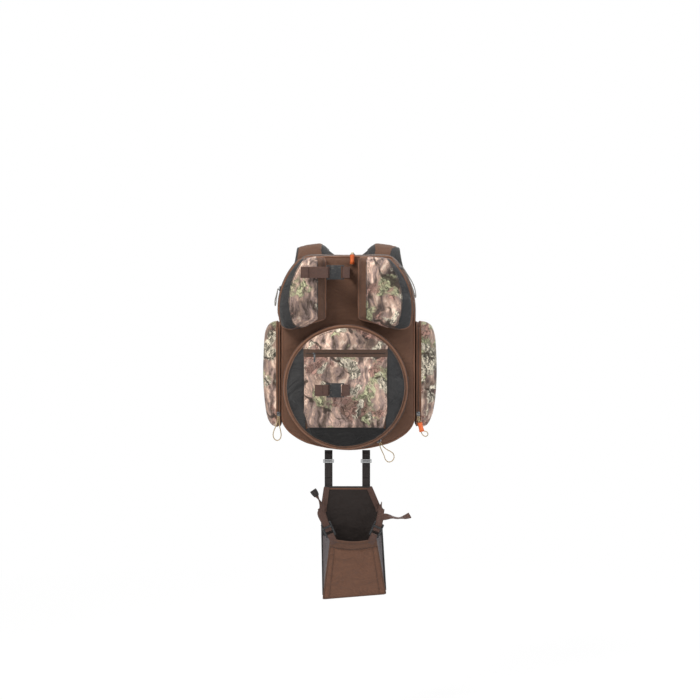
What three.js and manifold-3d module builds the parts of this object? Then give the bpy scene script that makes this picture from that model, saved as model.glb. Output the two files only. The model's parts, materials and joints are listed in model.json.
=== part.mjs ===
// Hunting backpack with two upper pockets, a round lower pocket, side pockets, two rifle retaining straps
// and a boot that hangs below the pack for the gun butt. Millimetres, +Z up, the front of the pack faces -Y,
// the wearer's back lies at +Y. The origin is inside the haul loop, the place where the pack hangs.
import * as THREE from "three";
import { mergeVertices } from "three/addons/utils/BufferGeometryUtils.js";
import Module from "manifold-3d";

const wasm = await Module();
wasm.setup();

// Clearances shared by every piece
const seam = 0.3; // gap between pieces that touch
const overrun = 6; // how far a cutting solid runs past what it cuts
const weld = 0.001; // vertices nearer than this are one vertex
const skin = 2; // thickness of a fabric panel laid on a pocket

// Main bag
const bagCentreX = -4;
const bagHalfWidth = 154;
const bagHeight = 446;
const bagDepth = 130;
const bagWall = 4;
const bagEdgeRoll = 8;
const bagBaseRise = 75; // height of the curved lower edge
const shoulderRadius = 160; // arcs of the two upper corners
const shoulderDrop = 122; // height of the bag above their centres
const shoulderZ = bagHeight - shoulderDrop;
const backPanelThickness = 5;
const frontY = -bagDepth - seam; // plane that the front pockets sit on

// Pads on the back panel
const padThickness = 14;
const padRoll = 14;
const backPadWidth = 92;
const backPadBase = 150;
const backPadTop = 372;
const backPadGap = 34; // air channel between the two back pads
const lumbarClearance = 3.5; // from the pad to the webbings beside it
const lumbarBase = 38;
const lumbarTop = 136;
const padCorner = 22;
const padBacking = 4; // foam that joins the two back pads behind their air channel

// Upper pockets: the outer edge of each is one arc, the inner edge stands in the valley between them
const upperDepth = 62;
const upperRoll = 40;
const pocketWall = 3;
const upperTop = 444;
const upperArcRadius = 157;
const upperArcZ = 324;
const upperInnerBase = 299;
const upperOuterBase = 275;
const upperCorner = 8;
const upperPanelSetback = 21; // gusset that shows beside the printed panel
const upperPanelDrop = 4; // gusset that shows above and below it
const upperStripSetback = 7;
const upperPanelRadius = 148;
const upperPanelArcZ = 341;
const upperPanelMargin = 28; // charcoal strip at its widest
const upperPockets = {
  left: { side: -1, inner: 52, outer: 164, sliderAngle: 0.297 },
  right: { side: 1, inner: 16, outer: 144, sliderAngle: 0.628 },
};

// Lower pocket: a round pocket with five panels laid on its face
const lowerCentreX = -10;
const lowerCentreZ = 147;
const lowerRadius = 144;
const lowerDepth = 50;
const lowerRoll = 34;
const lowerPiping = 12; // brown edge outside the panels
const panelHalfWidth = 94;
const zipTapeTop = 233;
const zipTapeBase = 216;
const printedBase = 57;
const printedCornerRise = 35;
const printedCornerInset = 10;
const cornerSeamRun = 34;
const cornerSeamDrop = 32;

// Side pockets
const sideDepth = { left: 37.4, right: 45.4 }; // height of each pocket above the bag's wall
const sideBase = 52;
const sideTop = 295;
const sideBackY = -18;
const sideFrontY = -122;
const sideCorner = 24;
const sideRoll = 30;
const sideGussetShare = 0.25; // part of the pocket's height that stays gusset

// Shoulder straps
const strapThickness = 14;
const strapRouteY = [5.8, 6.6, 15, 36, 66, 88, 94, 94, 88, 72, 62];
const strapRouteZ = [388, 410, 442, 468, 471, 440, 380, 300, 226, 176, 134];
const strapEdgeZ = [134, 200, 260, 320, 380, 430, 484];
const strapCentreX = [118, 121, 122, 116, 102, 88, 83];
const strapHalfWidth = [26, 28, 31, 34, 36, 37, 36];

// Webbing and hardware
const webThickness = 1.6;
const strapWeb = 25;
const adjusterWidth = 36;
const adjusterHeight = 34;
const adjusterThickness = 4;
const adjusterBar = 5;
const adjusterTopZ = 139;
const lowerAnchorZ = 46;
const strapTailEndZ = 26;
const haulHalfSpan = 42;
const haulReach = 38; // inside face of the loop at its middle
const haulZ = 428;
const haulWidth = 24;
const haulThickness = 4;

// Side-release buckles, sized by their webbing
const buckleThickness = 9;
const socketLength = 22;
const plugLength = 10;
const buckleFlange = 3.5; // plastic beyond the webbing on each side
const barLength = 2.5;
const barThickness = 3.6;
const slotLength = 4.4;
const buckleWall = 3;
const socketFloor = 1.9;
const prongReach = 15;
const prongWidth = 4;

// Rifle retaining straps
const rifleWeb = 25;
const rifleLegRight = -1;
const rifleLegLeft = -49;
const rifleBuckleX = -20;
const rifleFoot = 18; // stitched foot of each leg
const rifleBend = 6;
const upperStrapZ = 406;
const upperStrapReach = 72;
const upperTail = 58;
const lowerStrapZ = 144;
const lowerStrapReach = 46;
const lowerTail = 26;

// Sternum strap
const sternumWeb = 20;
const sternumZ = 300;
const sternumClipWidth = 30;
const sternumClipHeight = 26;
const sternumClipThickness = 4;
const sternumBuckleX = -14;

// Boot for the gun butt, hung from the base of the bag
const hangerWeb = 18;
const hangerTopZ = 1.2;
const hangerSewn = 22; // length sewn to the rear panel
const hangerLeftX = -49;
const hangerRightX = 37;
const hingeY = -118;
const bootTopZ = -84;
const bootMouthZ = -198;
const bootMouthSag = 8;
const bootBaseLeftZ = -338;
const bootBaseRightZ = -326;
const bootRearTopY = -118;
const bootRearBaseY = -84;
const bootFrontTopY = -158;
const bootFrontBaseY = -131;
const bootPanel = 3;
const bootRear = { topLeft: -58, topRight: 49, hipLeft: -65, hipRight: 70, hipZ: -134, baseLeft: -62, baseRight: 82 };
const bootFront = { topLeft: -43, topRight: 58, baseLeft: -61, baseRight: 81 };
const gussetInset = 1.5;
const slideZ = -24;
const slideWidth = 25;
const slideHeight = 8;
const slideThickness = 5;
const lockWidth = 24;
const lockHeight = 34;
const lockThickness = 4;
const lockBar = 4;
const lockTilt = 0.42;
const lockRise = 8; // lower bar above the mouth
const tabSewn = 15; // length of the tab sewn to the front panel
const tailWidth = 15;
const tailThickness = 2;
const tailSewnDepth = 2; // end of each tail's webbing behind the rear panel's middle
const tailSewnRise = 8;
const tailTurnRise = 3;
const bandSteps = 10;

// Zip sliders and their cord pulls
const sliderLength = 12;
const sliderWidth = 8;
const sliderHeight = 4;
const cordDiameter = 2.2;
const cordSides = 8;
const cordSteps = 22;
const sleeveDiameter = 8;
const sliderTab = 20;
const sliderTabThickness = 1.5;
const mainSliderX = 6;
const mainSliderY = -106;
const upperZipRise = 18; // place of each coil on its gusset, from the seam
const lowerZipRise = 14;
const sideSliderZ = 83;
const lowerSliderAngle = -1.02;
const frontSliderX = -80;

// Materials, as the photograph shows them
const finish = (color, roughness, metalness = 0) => new THREE.MeshStandardMaterial({ color, roughness, metalness });
const brownCloth = finish(0x5a4636, 0.9);
const printedCloth = finish(0x857868, 0.9);
const charcoalCloth = finish(0x30343a, 0.85);
const meshCloth = finish(0x1d1c1b, 0.95);
const brownWebbing = finish(0x4a3126, 0.85);
const blackPlastic = finish(0x17181a, 0.4);
const zipMetal = finish(0x6f6f6f, 0.35, 0.9);
const pullCord = finish(0xc9a06a, 0.7);

const point = (x, y) => new THREE.Vector2(x, y);

// An arc of an ellipse as outline points
function arc(x, y, rx, ry, start, end, steps) {
  return new THREE.EllipseCurve(x, y, rx, ry, start, end, end < start).getPoints(steps);
}

// The three planes that outlines are drawn in, and the direction in which each is extruded
const frontPlane = new THREE.Matrix4().makeBasis(
  new THREE.Vector3(1, 0, 0),
  new THREE.Vector3(0, 0, 1),
  new THREE.Vector3(0, -1, 0),
);
const sidePlane = new THREE.Matrix4().makeBasis(
  new THREE.Vector3(0, 1, 0),
  new THREE.Vector3(0, 0, 1),
  new THREE.Vector3(1, 0, 0),
);
const topPlane = new THREE.Matrix4();

// Extrudes an outline from one coordinate to another: y for a front outline, x for a side one, z for a top one
function prism(outline, from, to, plane = frontPlane) {
  const low = plane === frontPlane ? -Math.max(from, to) : Math.min(from, to);
  const depth = Math.abs(to - from);
  const shape = new THREE.Shape(outline);
  const body = new THREE.ExtrudeGeometry(shape, { depth, bevelEnabled: false, curveSegments: 1 });
  return body.translate(0, 0, low).applyMatrix4(plane);
}

// Turns every face of a closed mesh outwards
function facingOut(geometry) {
  const place = geometry.getAttribute("position");
  const corners = geometry.index.array;
  const at = (i) => new THREE.Vector3().fromBufferAttribute(place, corners[i]);
  let volume = 0;
  for (let i = 0; i < corners.length; i += 3) volume += at(i).dot(at(i + 1).cross(at(i + 2)));
  if (volume < 0)
    for (let i = 0; i < corners.length; i += 3) [corners[i], corners[i + 1]] = [corners[i + 1], corners[i]];
  return geometry;
}

// A closed body through rings with the same number of points, with a fan over each end
function loft(rings) {
  const count = rings[0].length;
  const points = rings.flat();
  const corners = [];
  for (let r = 0; r + 1 < rings.length; r++)
    for (let i = 0; i < count; i++) {
      const a = r * count + i;
      const b = r * count + ((i + 1) % count);
      corners.push(a, b, b + count, a, b + count, a + count);
    }
  for (const [ring, turned] of [
    [0, true],
    [rings.length - 1, false],
  ]) {
    const middle = new THREE.Vector3();
    rings[ring].forEach((p) => middle.addScaledVector(p, 1 / count));
    points.push(middle);
    for (let i = 0; i < count; i++) {
      const pair = [ring * count + i, ring * count + ((i + 1) % count)];
      corners.push(...(turned ? pair.reverse() : pair), points.length - 1);
    }
  }
  const geometry = new THREE.BufferGeometry().setFromPoints(points);
  geometry.setIndex(corners);
  return facingOut(geometry);
}

function solidOf(geometry) {
  const source = geometry.index ? geometry.toNonIndexed() : geometry;
  const bare = new THREE.BufferGeometry().setAttribute("position", source.getAttribute("position"));
  const merged = mergeVertices(bare, weld);
  return new wasm.Manifold(
    new wasm.Mesh({
      numProp: 3,
      vertProperties: merged.getAttribute("position").array,
      triVerts: new Uint32Array(merged.index.array),
    }),
  );
}

function geometryOf(solid) {
  const mesh = solid.getMesh();
  const geometry = new THREE.BufferGeometry();
  geometry.setAttribute("position", new THREE.BufferAttribute(mesh.vertProperties, 3));
  return geometry.setIndex(new THREE.BufferAttribute(mesh.triVerts, 1));
}

const join = (...parts) => geometryOf(parts.map(solidOf).reduce((a, b) => a.add(b)));
const cut = (body, ...tools) => geometryOf(tools.map(solidOf).reduce((a, b) => a.subtract(b), solidOf(body)));
const common = (...parts) => geometryOf(parts.map(solidOf).reduce((a, b) => a.intersect(b)));

// A padded form: rings of the outline, drawn in by each station's inset and lifted to its rise.
// outward is -1 for a form that faces the front and 1 for one that faces the wearer.
function crowned(outline, stations, outward = -1) {
  const box = new THREE.Box2().setFromPoints(outline);
  const middle = box.getCenter(new THREE.Vector2());
  const half = box.getSize(new THREE.Vector2()).divideScalar(2);
  const rings = stations.map(({ rise, inset }) =>
    outline.map(
      (p) =>
        new THREE.Vector3(
          middle.x + (p.x - middle.x) * (1 - inset / half.x),
          outward * rise,
          middle.y + (p.y - middle.y) * (1 - inset / half.y),
        ),
    ),
  );
  return loft(rings);
}

// Shares of the depth and of the roll, from the seam at the base to the crown
const pouchShares = [
  [0, 0],
  [0.45, 0.02],
  [0.72, 0.12],
  [0.89, 0.34],
  [0.975, 0.66],
  [1, 1],
];
const padShares = [
  [0, 0],
  [0.5, 0.1],
  [0.85, 0.45],
  [1, 1],
];

function stations(shares, depth, roll, grow = 0) {
  return shares.map(([rise, inset]) => ({ rise: rise * (depth + grow), inset: inset * roll - grow }));
}

// A pocket sewn to the bag along its rim and open to it behind
function pouch(outline, depth, roll) {
  const inside = stations(pouchShares, depth, roll, -pocketWall);
  inside[0].rise = -overrun;
  return cut(crowned(outline, stations(pouchShares, depth, roll)), crowned(outline, inside));
}

// A fabric panel that lies on a pocket, where the region's solids allow it
function panel(outline, depth, roll, ...regions) {
  const under = crowned(outline, stations(pouchShares, depth, roll, seam));
  const over = crowned(outline, stations(pouchShares, depth, roll, seam + skin));
  return common(cut(over, under), ...regions);
}

function roundedOutline(left, right, base, top, radius, steps = 4) {
  const quarter = Math.PI / 2;
  return [
    ...arc(right - radius, top - radius, radius, radius, 0, quarter, steps),
    ...arc(left + radius, top - radius, radius, radius, quarter, 2 * quarter, steps),
    ...arc(left + radius, base + radius, radius, radius, 2 * quarter, 3 * quarter, steps),
    ...arc(right - radius, base + radius, radius, radius, 3 * quarter, 4 * quarter, steps),
  ];
}

// The outline of a strip of even thickness along a line of points
function ribbon(line, thickness) {
  const side = (sign) =>
    line.map((p, i) => {
      const before = line[Math.max(i - 1, 0)];
      const after = line[Math.min(i + 1, line.length - 1)];
      const into = point(p.x - before.x, p.y - before.y).normalize();
      const out = point(after.x - p.x, after.y - p.y).normalize();
      const along = into.clone().add(out).normalize();
      const reach = thickness / 2 / Math.max(along.dot(i ? into : out), 1 / 2);
      return point(p.x - sign * along.y * reach, p.y + sign * along.x * reach);
    });
  return [...side(1), ...side(-1).reverse()];
}

const smooth = (points, steps) => new THREE.SplineCurve(points).getPoints(steps);

// A tube of the cord's diameter along points in space
function cordTube(points, diameter = cordDiameter, steps = cordSteps) {
  const section = new THREE.Shape(
    arc(0, 0, diameter / 2, diameter / 2, 0, 2 * Math.PI, cordSides).slice(0, cordSides),
  );
  const extrudePath = new THREE.CatmullRomCurve3(points);
  return new THREE.ExtrudeGeometry(section, { steps, extrudePath, bevelEnabled: false });
}

const box = (x0, x1, y0, y1, z0, z1) =>
  new THREE.BoxGeometry(x1 - x0, y1 - y0, z1 - z0).translate((x0 + x1) / 2, (y0 + y1) / 2, (z0 + z1) / 2);

const pack = new THREE.Group();

function add(parent, name, geometry, material) {
  const mesh = new THREE.Mesh(geometry, material);
  mesh.name = name;
  parent.add(mesh);
  return mesh;
}

function group(parent, x, y, z, turn = 0) {
  const place = new THREE.Group();
  place.position.set(x, y, z);
  place.rotation.z = turn;
  parent.add(place);
  return place;
}

// Main bag: front wall and gusset in one shell, open behind, closed by the back panel
function bagOutline() {
  const rise = Math.asin((bagHeight - shoulderZ) / shoulderRadius);
  const right = bagCentreX + bagHalfWidth - shoulderRadius;
  const left = bagCentreX - bagHalfWidth + shoulderRadius;
  return [
    ...arc(bagCentreX, bagBaseRise, bagHalfWidth, bagBaseRise, Math.PI, 2 * Math.PI, 16),
    ...arc(right, shoulderZ, shoulderRadius, shoulderRadius, 0, rise, 6),
    ...arc(left, shoulderZ, shoulderRadius, shoulderRadius, Math.PI - rise, Math.PI, 6),
  ];
}

const bagShell = cut(
  crowned(bagOutline(), [
    { rise: 0, inset: 0 },
    { rise: bagDepth - bagEdgeRoll, inset: 0 },
    { rise: bagDepth - bagEdgeRoll / 3, inset: bagEdgeRoll / 3 },
    { rise: bagDepth, inset: bagEdgeRoll },
  ]),
  crowned(bagOutline(), [
    { rise: -overrun, inset: bagWall },
    { rise: bagDepth - bagEdgeRoll, inset: bagWall },
    { rise: bagDepth - bagWall, inset: bagEdgeRoll + bagWall },
  ]),
);
add(pack, "main_bag", bagShell, brownCloth);

const backY = seam + backPanelThickness; // outer face of the back panel
add(pack, "back_panel", prism(bagOutline(), seam, backY), brownCloth);

// Back pads and lumbar pad
const padY = backY + seam;
const padStations = stations(padShares, padThickness, padRoll);
const pads = group(pack, 0, padY, 0);
const backPad = (side) => {
  const near = bagCentreX + (side * backPadGap) / 2;
  const far = near + side * backPadWidth;
  const outline = roundedOutline(Math.min(near, far), Math.max(near, far), backPadBase, backPadTop, padCorner);
  return crowned(outline, padStations, 1);
};
const bridge = [backPadBase + padCorner, backPadTop - padCorner];
const bridgeReach = backPadGap / 2 + padCorner;
const padBridge = box(bagCentreX - bridgeReach, bagCentreX + bridgeReach, 0, padBacking, ...bridge);
add(pads, "back_pad", join(backPad(-1), backPad(1), padBridge), meshCloth);
const lumbarHalf = strapCentreX[0] - strapWeb / 2 - lumbarClearance;
const lumbarSpan = [bagCentreX - lumbarHalf, bagCentreX + lumbarHalf];
const lumbarOutline = roundedOutline(...lumbarSpan, lumbarBase, lumbarTop, padCorner);
add(pads, "lumbar_pad", crowned(lumbarOutline, padStations, 1), meshCloth);

// Haul loop: webbing sewn to the back panel at both ends and standing off it in the middle
const haulMiddle = haulReach + haulThickness / 2;
const haulFootY = padY + haulThickness / 2;
const haulLine = smooth(
  [
    point(-haulHalfSpan, haulFootY),
    point(-haulHalfSpan * 0.72, haulFootY + haulThickness / 4),
    point(-haulHalfSpan / 2, (haulFootY + haulMiddle) / 2),
    point(0, haulMiddle),
    point(haulHalfSpan / 2, (haulFootY + haulMiddle) / 2),
    point(haulHalfSpan * 0.72, haulFootY + haulThickness / 4),
    point(haulHalfSpan, haulFootY),
  ],
  18,
);
const haulBody = prism(ribbon(haulLine, haulThickness), haulZ - haulWidth / 2, haulZ + haulWidth / 2, topPlane);
const behindPanel = box(-2 * haulHalfSpan, 2 * haulHalfSpan, padY, 2 * haulMiddle, 0, 2 * haulZ);
add(group(pack, bagCentreX, 0, 0), "haul_loop", common(haulBody, behindPanel), brownWebbing);

// Upper pockets
function upperRegion(pocket, edge, arcX, arcZ, radius, top, innerBase, outerBase) {
  const inner = pocket.inner + edge;
  const centre = pocket.outer - arcX;
  const rise = Math.asin((top - upperCorner / 2 - arcZ) / radius);
  const dip = Math.asin(Math.min((outerBase + upperCorner - arcZ) / radius, 0));
  return [
    point(inner, innerBase),
    point(centre + radius * Math.cos(dip) - 3 * upperCorner, outerBase),
    point(centre + radius * Math.cos(dip) - upperCorner, outerBase + upperCorner / 3),
    ...arc(centre, arcZ, radius, radius, dip, rise, 10),
    point(inner + upperCorner / 2, top),
    point(inner, top - upperCorner),
  ];
}

const sides = { left: -1, right: 1 };
const mirrored = (outline, side) => (side > 0 ? outline : outline.map((p) => point(-p.x, p.y)).reverse());

for (const [name, pocket] of Object.entries(upperPockets)) {
  const place = group(pack, 0, frontY, 0);
  const bases = [upperInnerBase, upperOuterBase];
  const outline = mirrored(
    upperRegion(pocket, 0, upperArcRadius, upperArcZ, upperArcRadius, upperTop, ...bases),
    pocket.side,
  );
  const printed = upperRegion(
    pocket,
    upperPanelSetback,
    upperPanelRadius + upperPanelMargin,
    upperPanelArcZ,
    upperPanelRadius,
    upperTop - upperPanelDrop,
    upperInnerBase + upperPanelDrop,
    upperOuterBase + 2 * upperPanelDrop,
  );
  const face = (region, from = -overrun) => prism(mirrored(region, pocket.side), from, -2 * upperDepth);
  const stripRadius = upperArcRadius - upperStripSetback;
  const stripBase = upperOuterBase + upperPanelDrop;
  const strip = upperRegion(
    pocket,
    upperPanelSetback + upperPanelMargin,
    upperArcRadius,
    upperArcZ,
    stripRadius,
    upperTop - upperPanelDrop,
    stripBase,
    stripBase,
  );
  const printedGrown = upperRegion(
    pocket,
    upperPanelSetback - overrun,
    upperPanelRadius + upperPanelMargin,
    upperPanelArcZ,
    upperPanelRadius + 3 * seam,
    upperTop + overrun,
    upperInnerBase - 4 * overrun,
    upperOuterBase - 4 * overrun,
  );
  add(place, name + "_upper_pocket", pouch(outline, upperDepth, upperRoll), brownCloth);
  add(place, name + "_upper_panel", panel(outline, upperDepth, upperRoll, face(printed)), printedCloth);
  const stripBody = cut(panel(outline, upperDepth, upperRoll, face(strip)), face(printedGrown, overrun));
  add(place, name + "_upper_strip", stripBody, charcoalCloth);
}

// Lower pocket
const lowerPlace = group(pack, lowerCentreX, frontY, lowerCentreZ);
const lowerOutline = arc(0, 0, lowerRadius, lowerRadius, 0, 2 * Math.PI, 36).slice(0, 36);
const lowerDisc = prism(
  arc(0, 0, lowerRadius - lowerPiping, lowerRadius - lowerPiping, 0, 2 * Math.PI, 36).slice(0, 36),
  -overrun,
  -2 * lowerDepth,
);
const faceRegion = (points) => prism(points, -overrun, -2 * lowerDepth);
const tapeTop = zipTapeTop - lowerCentreZ;
const tapeBase = zipTapeBase - lowerCentreZ;
const printBase = printedBase - lowerCentreZ;
const printCorner = panelHalfWidth - printedCornerInset;
const seamX = printCorner + cornerSeamRun;
const seamZ = printBase - cornerSeamDrop;
const beyond = 2 * lowerRadius;
const stripRegion = (side) =>
  faceRegion(
    mirrored(
      [
        point(panelHalfWidth + seam, beyond),
        point(panelHalfWidth + seam, printBase + printedCornerRise),
        point(printCorner + seam, printBase),
        point(seamX + seam, seamZ),
        point(beyond, seamZ),
        point(beyond, beyond),
      ].reverse(),
      side,
    ),
  );
const lowerFaces = {
  lower_pocket_top_panel: [
    faceRegion([
      point(-panelHalfWidth, tapeTop),
      point(panelHalfWidth, tapeTop),
      point(panelHalfWidth, beyond),
      point(-panelHalfWidth, beyond),
    ]),
    printedCloth,
  ],
  lower_pocket_front_panel: [
    faceRegion([
      point(-panelHalfWidth, tapeBase),
      point(-panelHalfWidth, printBase + printedCornerRise),
      point(-printCorner, printBase),
      point(printCorner, printBase),
      point(panelHalfWidth, printBase + printedCornerRise),
      point(panelHalfWidth, tapeBase),
    ]),
    printedCloth,
  ],
  lower_pocket_left_strip: [stripRegion(-1), charcoalCloth],
  lower_pocket_right_strip: [stripRegion(1), charcoalCloth],
  lower_pocket_base_panel: [
    faceRegion([
      point(-printCorner, printBase - seam),
      point(-seamX, seamZ - seam),
      point(-seamX, -beyond),
      point(seamX, -beyond),
      point(seamX, seamZ - seam),
      point(printCorner, printBase - seam),
    ]),
    charcoalCloth,
  ],
};
add(lowerPlace, "lower_pocket", pouch(lowerOutline, lowerDepth, lowerRoll), brownCloth);
for (const [name, [region, material]] of Object.entries(lowerFaces))
  add(lowerPlace, name, panel(lowerOutline, lowerDepth, lowerRoll, lowerDisc, region), material);

// Side pockets, built facing the front and turned to face outwards
for (const [name, side] of Object.entries(sides)) {
  const wallX = bagCentreX + side * (bagHalfWidth + seam);
  const depth = sideDepth[name];
  const place = group(pack, wallX, 0, 0, (side * Math.PI) / 2);
  const near = side > 0 ? sideFrontY : -sideBackY;
  const far = side > 0 ? sideBackY : -sideFrontY;
  const outline = roundedOutline(near, far, sideBase, sideTop, sideCorner);
  const slab = box(2 * near - far, 2 * far - near, -2 * depth, -sideGussetShare * depth, 0, bagHeight);
  add(place, name + "_side_pocket", pouch(outline, depth, sideRoll), brownCloth);
  add(place, name + "_side_panel", panel(outline, depth, sideRoll, slab), printedCloth);
}

// Ladder-lock adjuster that ends each shoulder strap
const adjusterX = strapCentreX[0];
const adjusterY = strapRouteY[strapRouteY.length - 1] + strapThickness / 2;
const wrapRadius = Math.hypot(adjusterBar, adjusterThickness) / 2 + seam + webThickness / 2;
const adjusterBaseZ = adjusterTopZ - adjusterHeight;
const barZ = adjusterBaseZ + adjusterBar / 2;
function adjuster(side) {
  const x = bagCentreX + side * adjusterX;
  const slotHalf = strapWeb / 2 + 1.5 * webThickness;
  const y = [adjusterY - adjusterThickness / 2, adjusterY + adjusterThickness / 2];
  const slotTop = adjusterBaseZ + adjusterBar + 2 * wrapRadius;
  const frame = prism(
    roundedOutline(x - adjusterWidth / 2, x + adjusterWidth / 2, adjusterBaseZ, adjusterTopZ, adjusterBar / 2, 2),
    ...y,
  );
  const slot = (low, high) => box(x - slotHalf, x + slotHalf, y[0] - overrun, y[1] + overrun, low, high);
  const upper = slot(slotTop + adjusterBar, adjusterTopZ - adjusterBar);
  return cut(frame, slot(adjusterBaseZ + adjusterBar, slotTop), upper);
}
// Shoulder straps: one padded strip bent over the wearer's shoulder, cut to the strap's outline in front view
const strapLine = smooth(
  strapRouteY.map((y, i) => point(y + strapThickness / 2, strapRouteZ[i])),
  30,
);
const strapHalf = new THREE.SplineCurve(strapEdgeZ.map((z, i) => point(strapHalfWidth[i], z))).getPoints(12);
const strapMiddle = new THREE.SplineCurve(strapEdgeZ.map((z, i) => point(strapCentreX[i], z))).getPoints(12);
const strapFace = [
  ...strapMiddle.map((p, i) => point(p.x + strapHalf[i].x, p.y)),
  ...strapMiddle.map((p, i) => point(p.x - strapHalf[i].x, p.y)).reverse(),
];
for (const [name, side] of Object.entries(sides)) {
  const reach = Math.max(...strapCentreX) + 2 * Math.max(...strapHalfWidth);
  const bent = prism(ribbon(strapLine, strapThickness), -reach, reach, sidePlane);
  const outline = mirrored(strapFace, side).map((p) => point(p.x + bagCentreX, p.y));
  const padded = common(bent, prism(outline, -overrun, 2 * reach));
  add(pack, name + "_shoulder_strap", join(padded, adjuster(side)), brownCloth);
}

// Webbings that run from the base of the pack through the adjusters to their free ends
const webY = padY + webThickness / 2;
const webLine = [
  point(webY, lowerAnchorZ - strapWeb / 2),
  point(webY, lowerAnchorZ),
  ...arc(adjusterY, barZ, wrapRadius, wrapRadius, (5 * Math.PI) / 6, 0, 6),
  point(adjusterY + wrapRadius, strapTailEndZ),
];
const webBody = (side) => {
  const x = bagCentreX + side * adjusterX;
  return prism(ribbon(webLine, webThickness), x - strapWeb / 2, x + strapWeb / 2, sidePlane);
};
for (const [name, side] of Object.entries(sides))
  add(pack, name + "_lower_webbing", webBody(side), brownWebbing);

// Side-release buckle, socket at x below zero's bar to its mouth, plug beyond it; the webbing lies along x
const prongMouth = socketLength + seam;
const socketBarX = -slotLength - barLength / 2;
const plugBarX = prongMouth + plugLength - barLength / 2;
const buckleWrap = Math.hypot(barLength, barThickness) / 2 + seam + webThickness / 2;
function buckleSocket(web) {
  const half = web / 2 + buckleFlange;
  const t = buckleThickness / 2;
  const inner = half - buckleWall;
  const shell = box(0, socketLength, -t, t, -half, half);
  const cavity = box(socketFloor, socketLength + overrun, -t + socketFloor, t - socketFloor, -inner, inner);
  const windows = box(socketLength / 3, (socketLength * 2) / 3, -t + socketFloor, t - socketFloor, -2 * half, 2 * half);
  const loopEnd = -slotLength - barLength;
  const loop = box(loopEnd, socketFloor, -barThickness / 2, barThickness / 2, -half, half);
  const slotHalf = web / 2 + webThickness / 2;
  const slot = box(loopEnd + barLength, 0, -t, t, -slotHalf, slotHalf);
  return cut(join(shell, cut(loop, slot)), cavity, windows);
}

function bucklePlug(web) {
  const half = web / 2 + buckleFlange;
  const reach = half - buckleWall - seam;
  const t = buckleThickness / 2 - socketFloor - seam;
  const end = prongMouth + plugLength;
  const base = box(prongMouth, end, -barThickness / 2, barThickness / 2, -half, half);
  const slotHalf = web / 2 + webThickness / 2;
  const slotEnd = end - barLength;
  const slot = box(slotEnd - slotLength, slotEnd, -2 * t, 2 * t, -slotHalf, slotHalf);
  const tip = prongMouth - prongReach;
  const prong = (side) => {
    const outer = side * reach;
    const inner = side * (reach - prongWidth);
    const z = [Math.min(outer, inner), Math.max(outer, inner)];
    return box(tip, prongMouth + barLength / 2, -t, t, ...z);
  };
  const guide = box(tip + prongWidth, prongMouth + barLength / 2, -t, t, -prongWidth / 2, prongWidth / 2);
  return join(cut(base, slot), prong(-1), prong(1), guide);
}

// Webbing end folded round the socket's bar and sewn back on itself, leaving towards -x
const sewnGap = webThickness / 2 + seam / 2;
const socketHook = [
  point(socketBarX - 8 * webThickness, sewnGap + seam),
  point(socketBarX - 3 * webThickness, buckleWrap),
  ...arc(socketBarX, 0, buckleWrap, buckleWrap, Math.PI / 2, -Math.PI / 2, 6),
  point(socketBarX - 3 * webThickness, -buckleWrap),
  point(socketBarX - 8 * webThickness, -sewnGap - seam),
];

// Rifle retaining strap, built along local x and turned so that the plug leaves towards -X
function rifleStrap(name, floorY, reach, z, tail) {
  const buckleY = floorY - reach;
  const place = group(pack, rifleBuckleX, buckleY, z, Math.PI);
  const half = rifleWeb / 2;
  const floor = reach - seam - webThickness / 2; // local y is measured from the buckle towards the front
  const right = rifleBuckleX - rifleLegRight;
  const left = rifleBuckleX - rifleLegLeft;
  const web = (line) => prism(ribbon(line, webThickness), -half, half, topPlane);
  const anchor = [
    ...socketHook,
    point(right, -rifleBend),
    point(right, -floor + rifleBend),
    point(right - webThickness, -floor),
    point(right - webThickness + rifleFoot, -floor),
  ];
  const foldBack = [
    point(left - rifleFoot, -floor),
    point(left, -floor),
    point(left + webThickness / 4, -floor + rifleBend / 2),
    point(left, -floor + 2 * rifleBend),
    point(left, -barThickness / 2 - seam),
  ];
  const tailLine = [
    ...arc(plugBarX, 0, buckleWrap, buckleWrap, Math.PI, Math.PI / 2, 4),
    point(plugBarX + tail / 3, buckleWrap + webThickness / 2),
    point(plugBarX + (tail * 2) / 3, buckleWrap - webThickness / 2),
    point(plugBarX + tail, buckleWrap),
  ];
  add(place, name + "_strap_anchor", web(anchor), brownWebbing);
  add(place, name + "_strap_socket", buckleSocket(rifleWeb), blackPlastic);
  add(place, name + "_strap_plug", bucklePlug(rifleWeb), blackPlastic);
  add(place, name + "_strap_web", web(foldBack), brownWebbing);
  add(place, name + "_strap_tail", web(tailLine), brownWebbing);
}
rifleStrap("upper", -bagDepth, upperStrapReach, upperStrapZ, upperTail);
const lowerFloorY = frontY - lowerDepth - seam - skin;
rifleStrap("lower", lowerFloorY, lowerStrapReach, lowerStrapZ, lowerTail);

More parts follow.
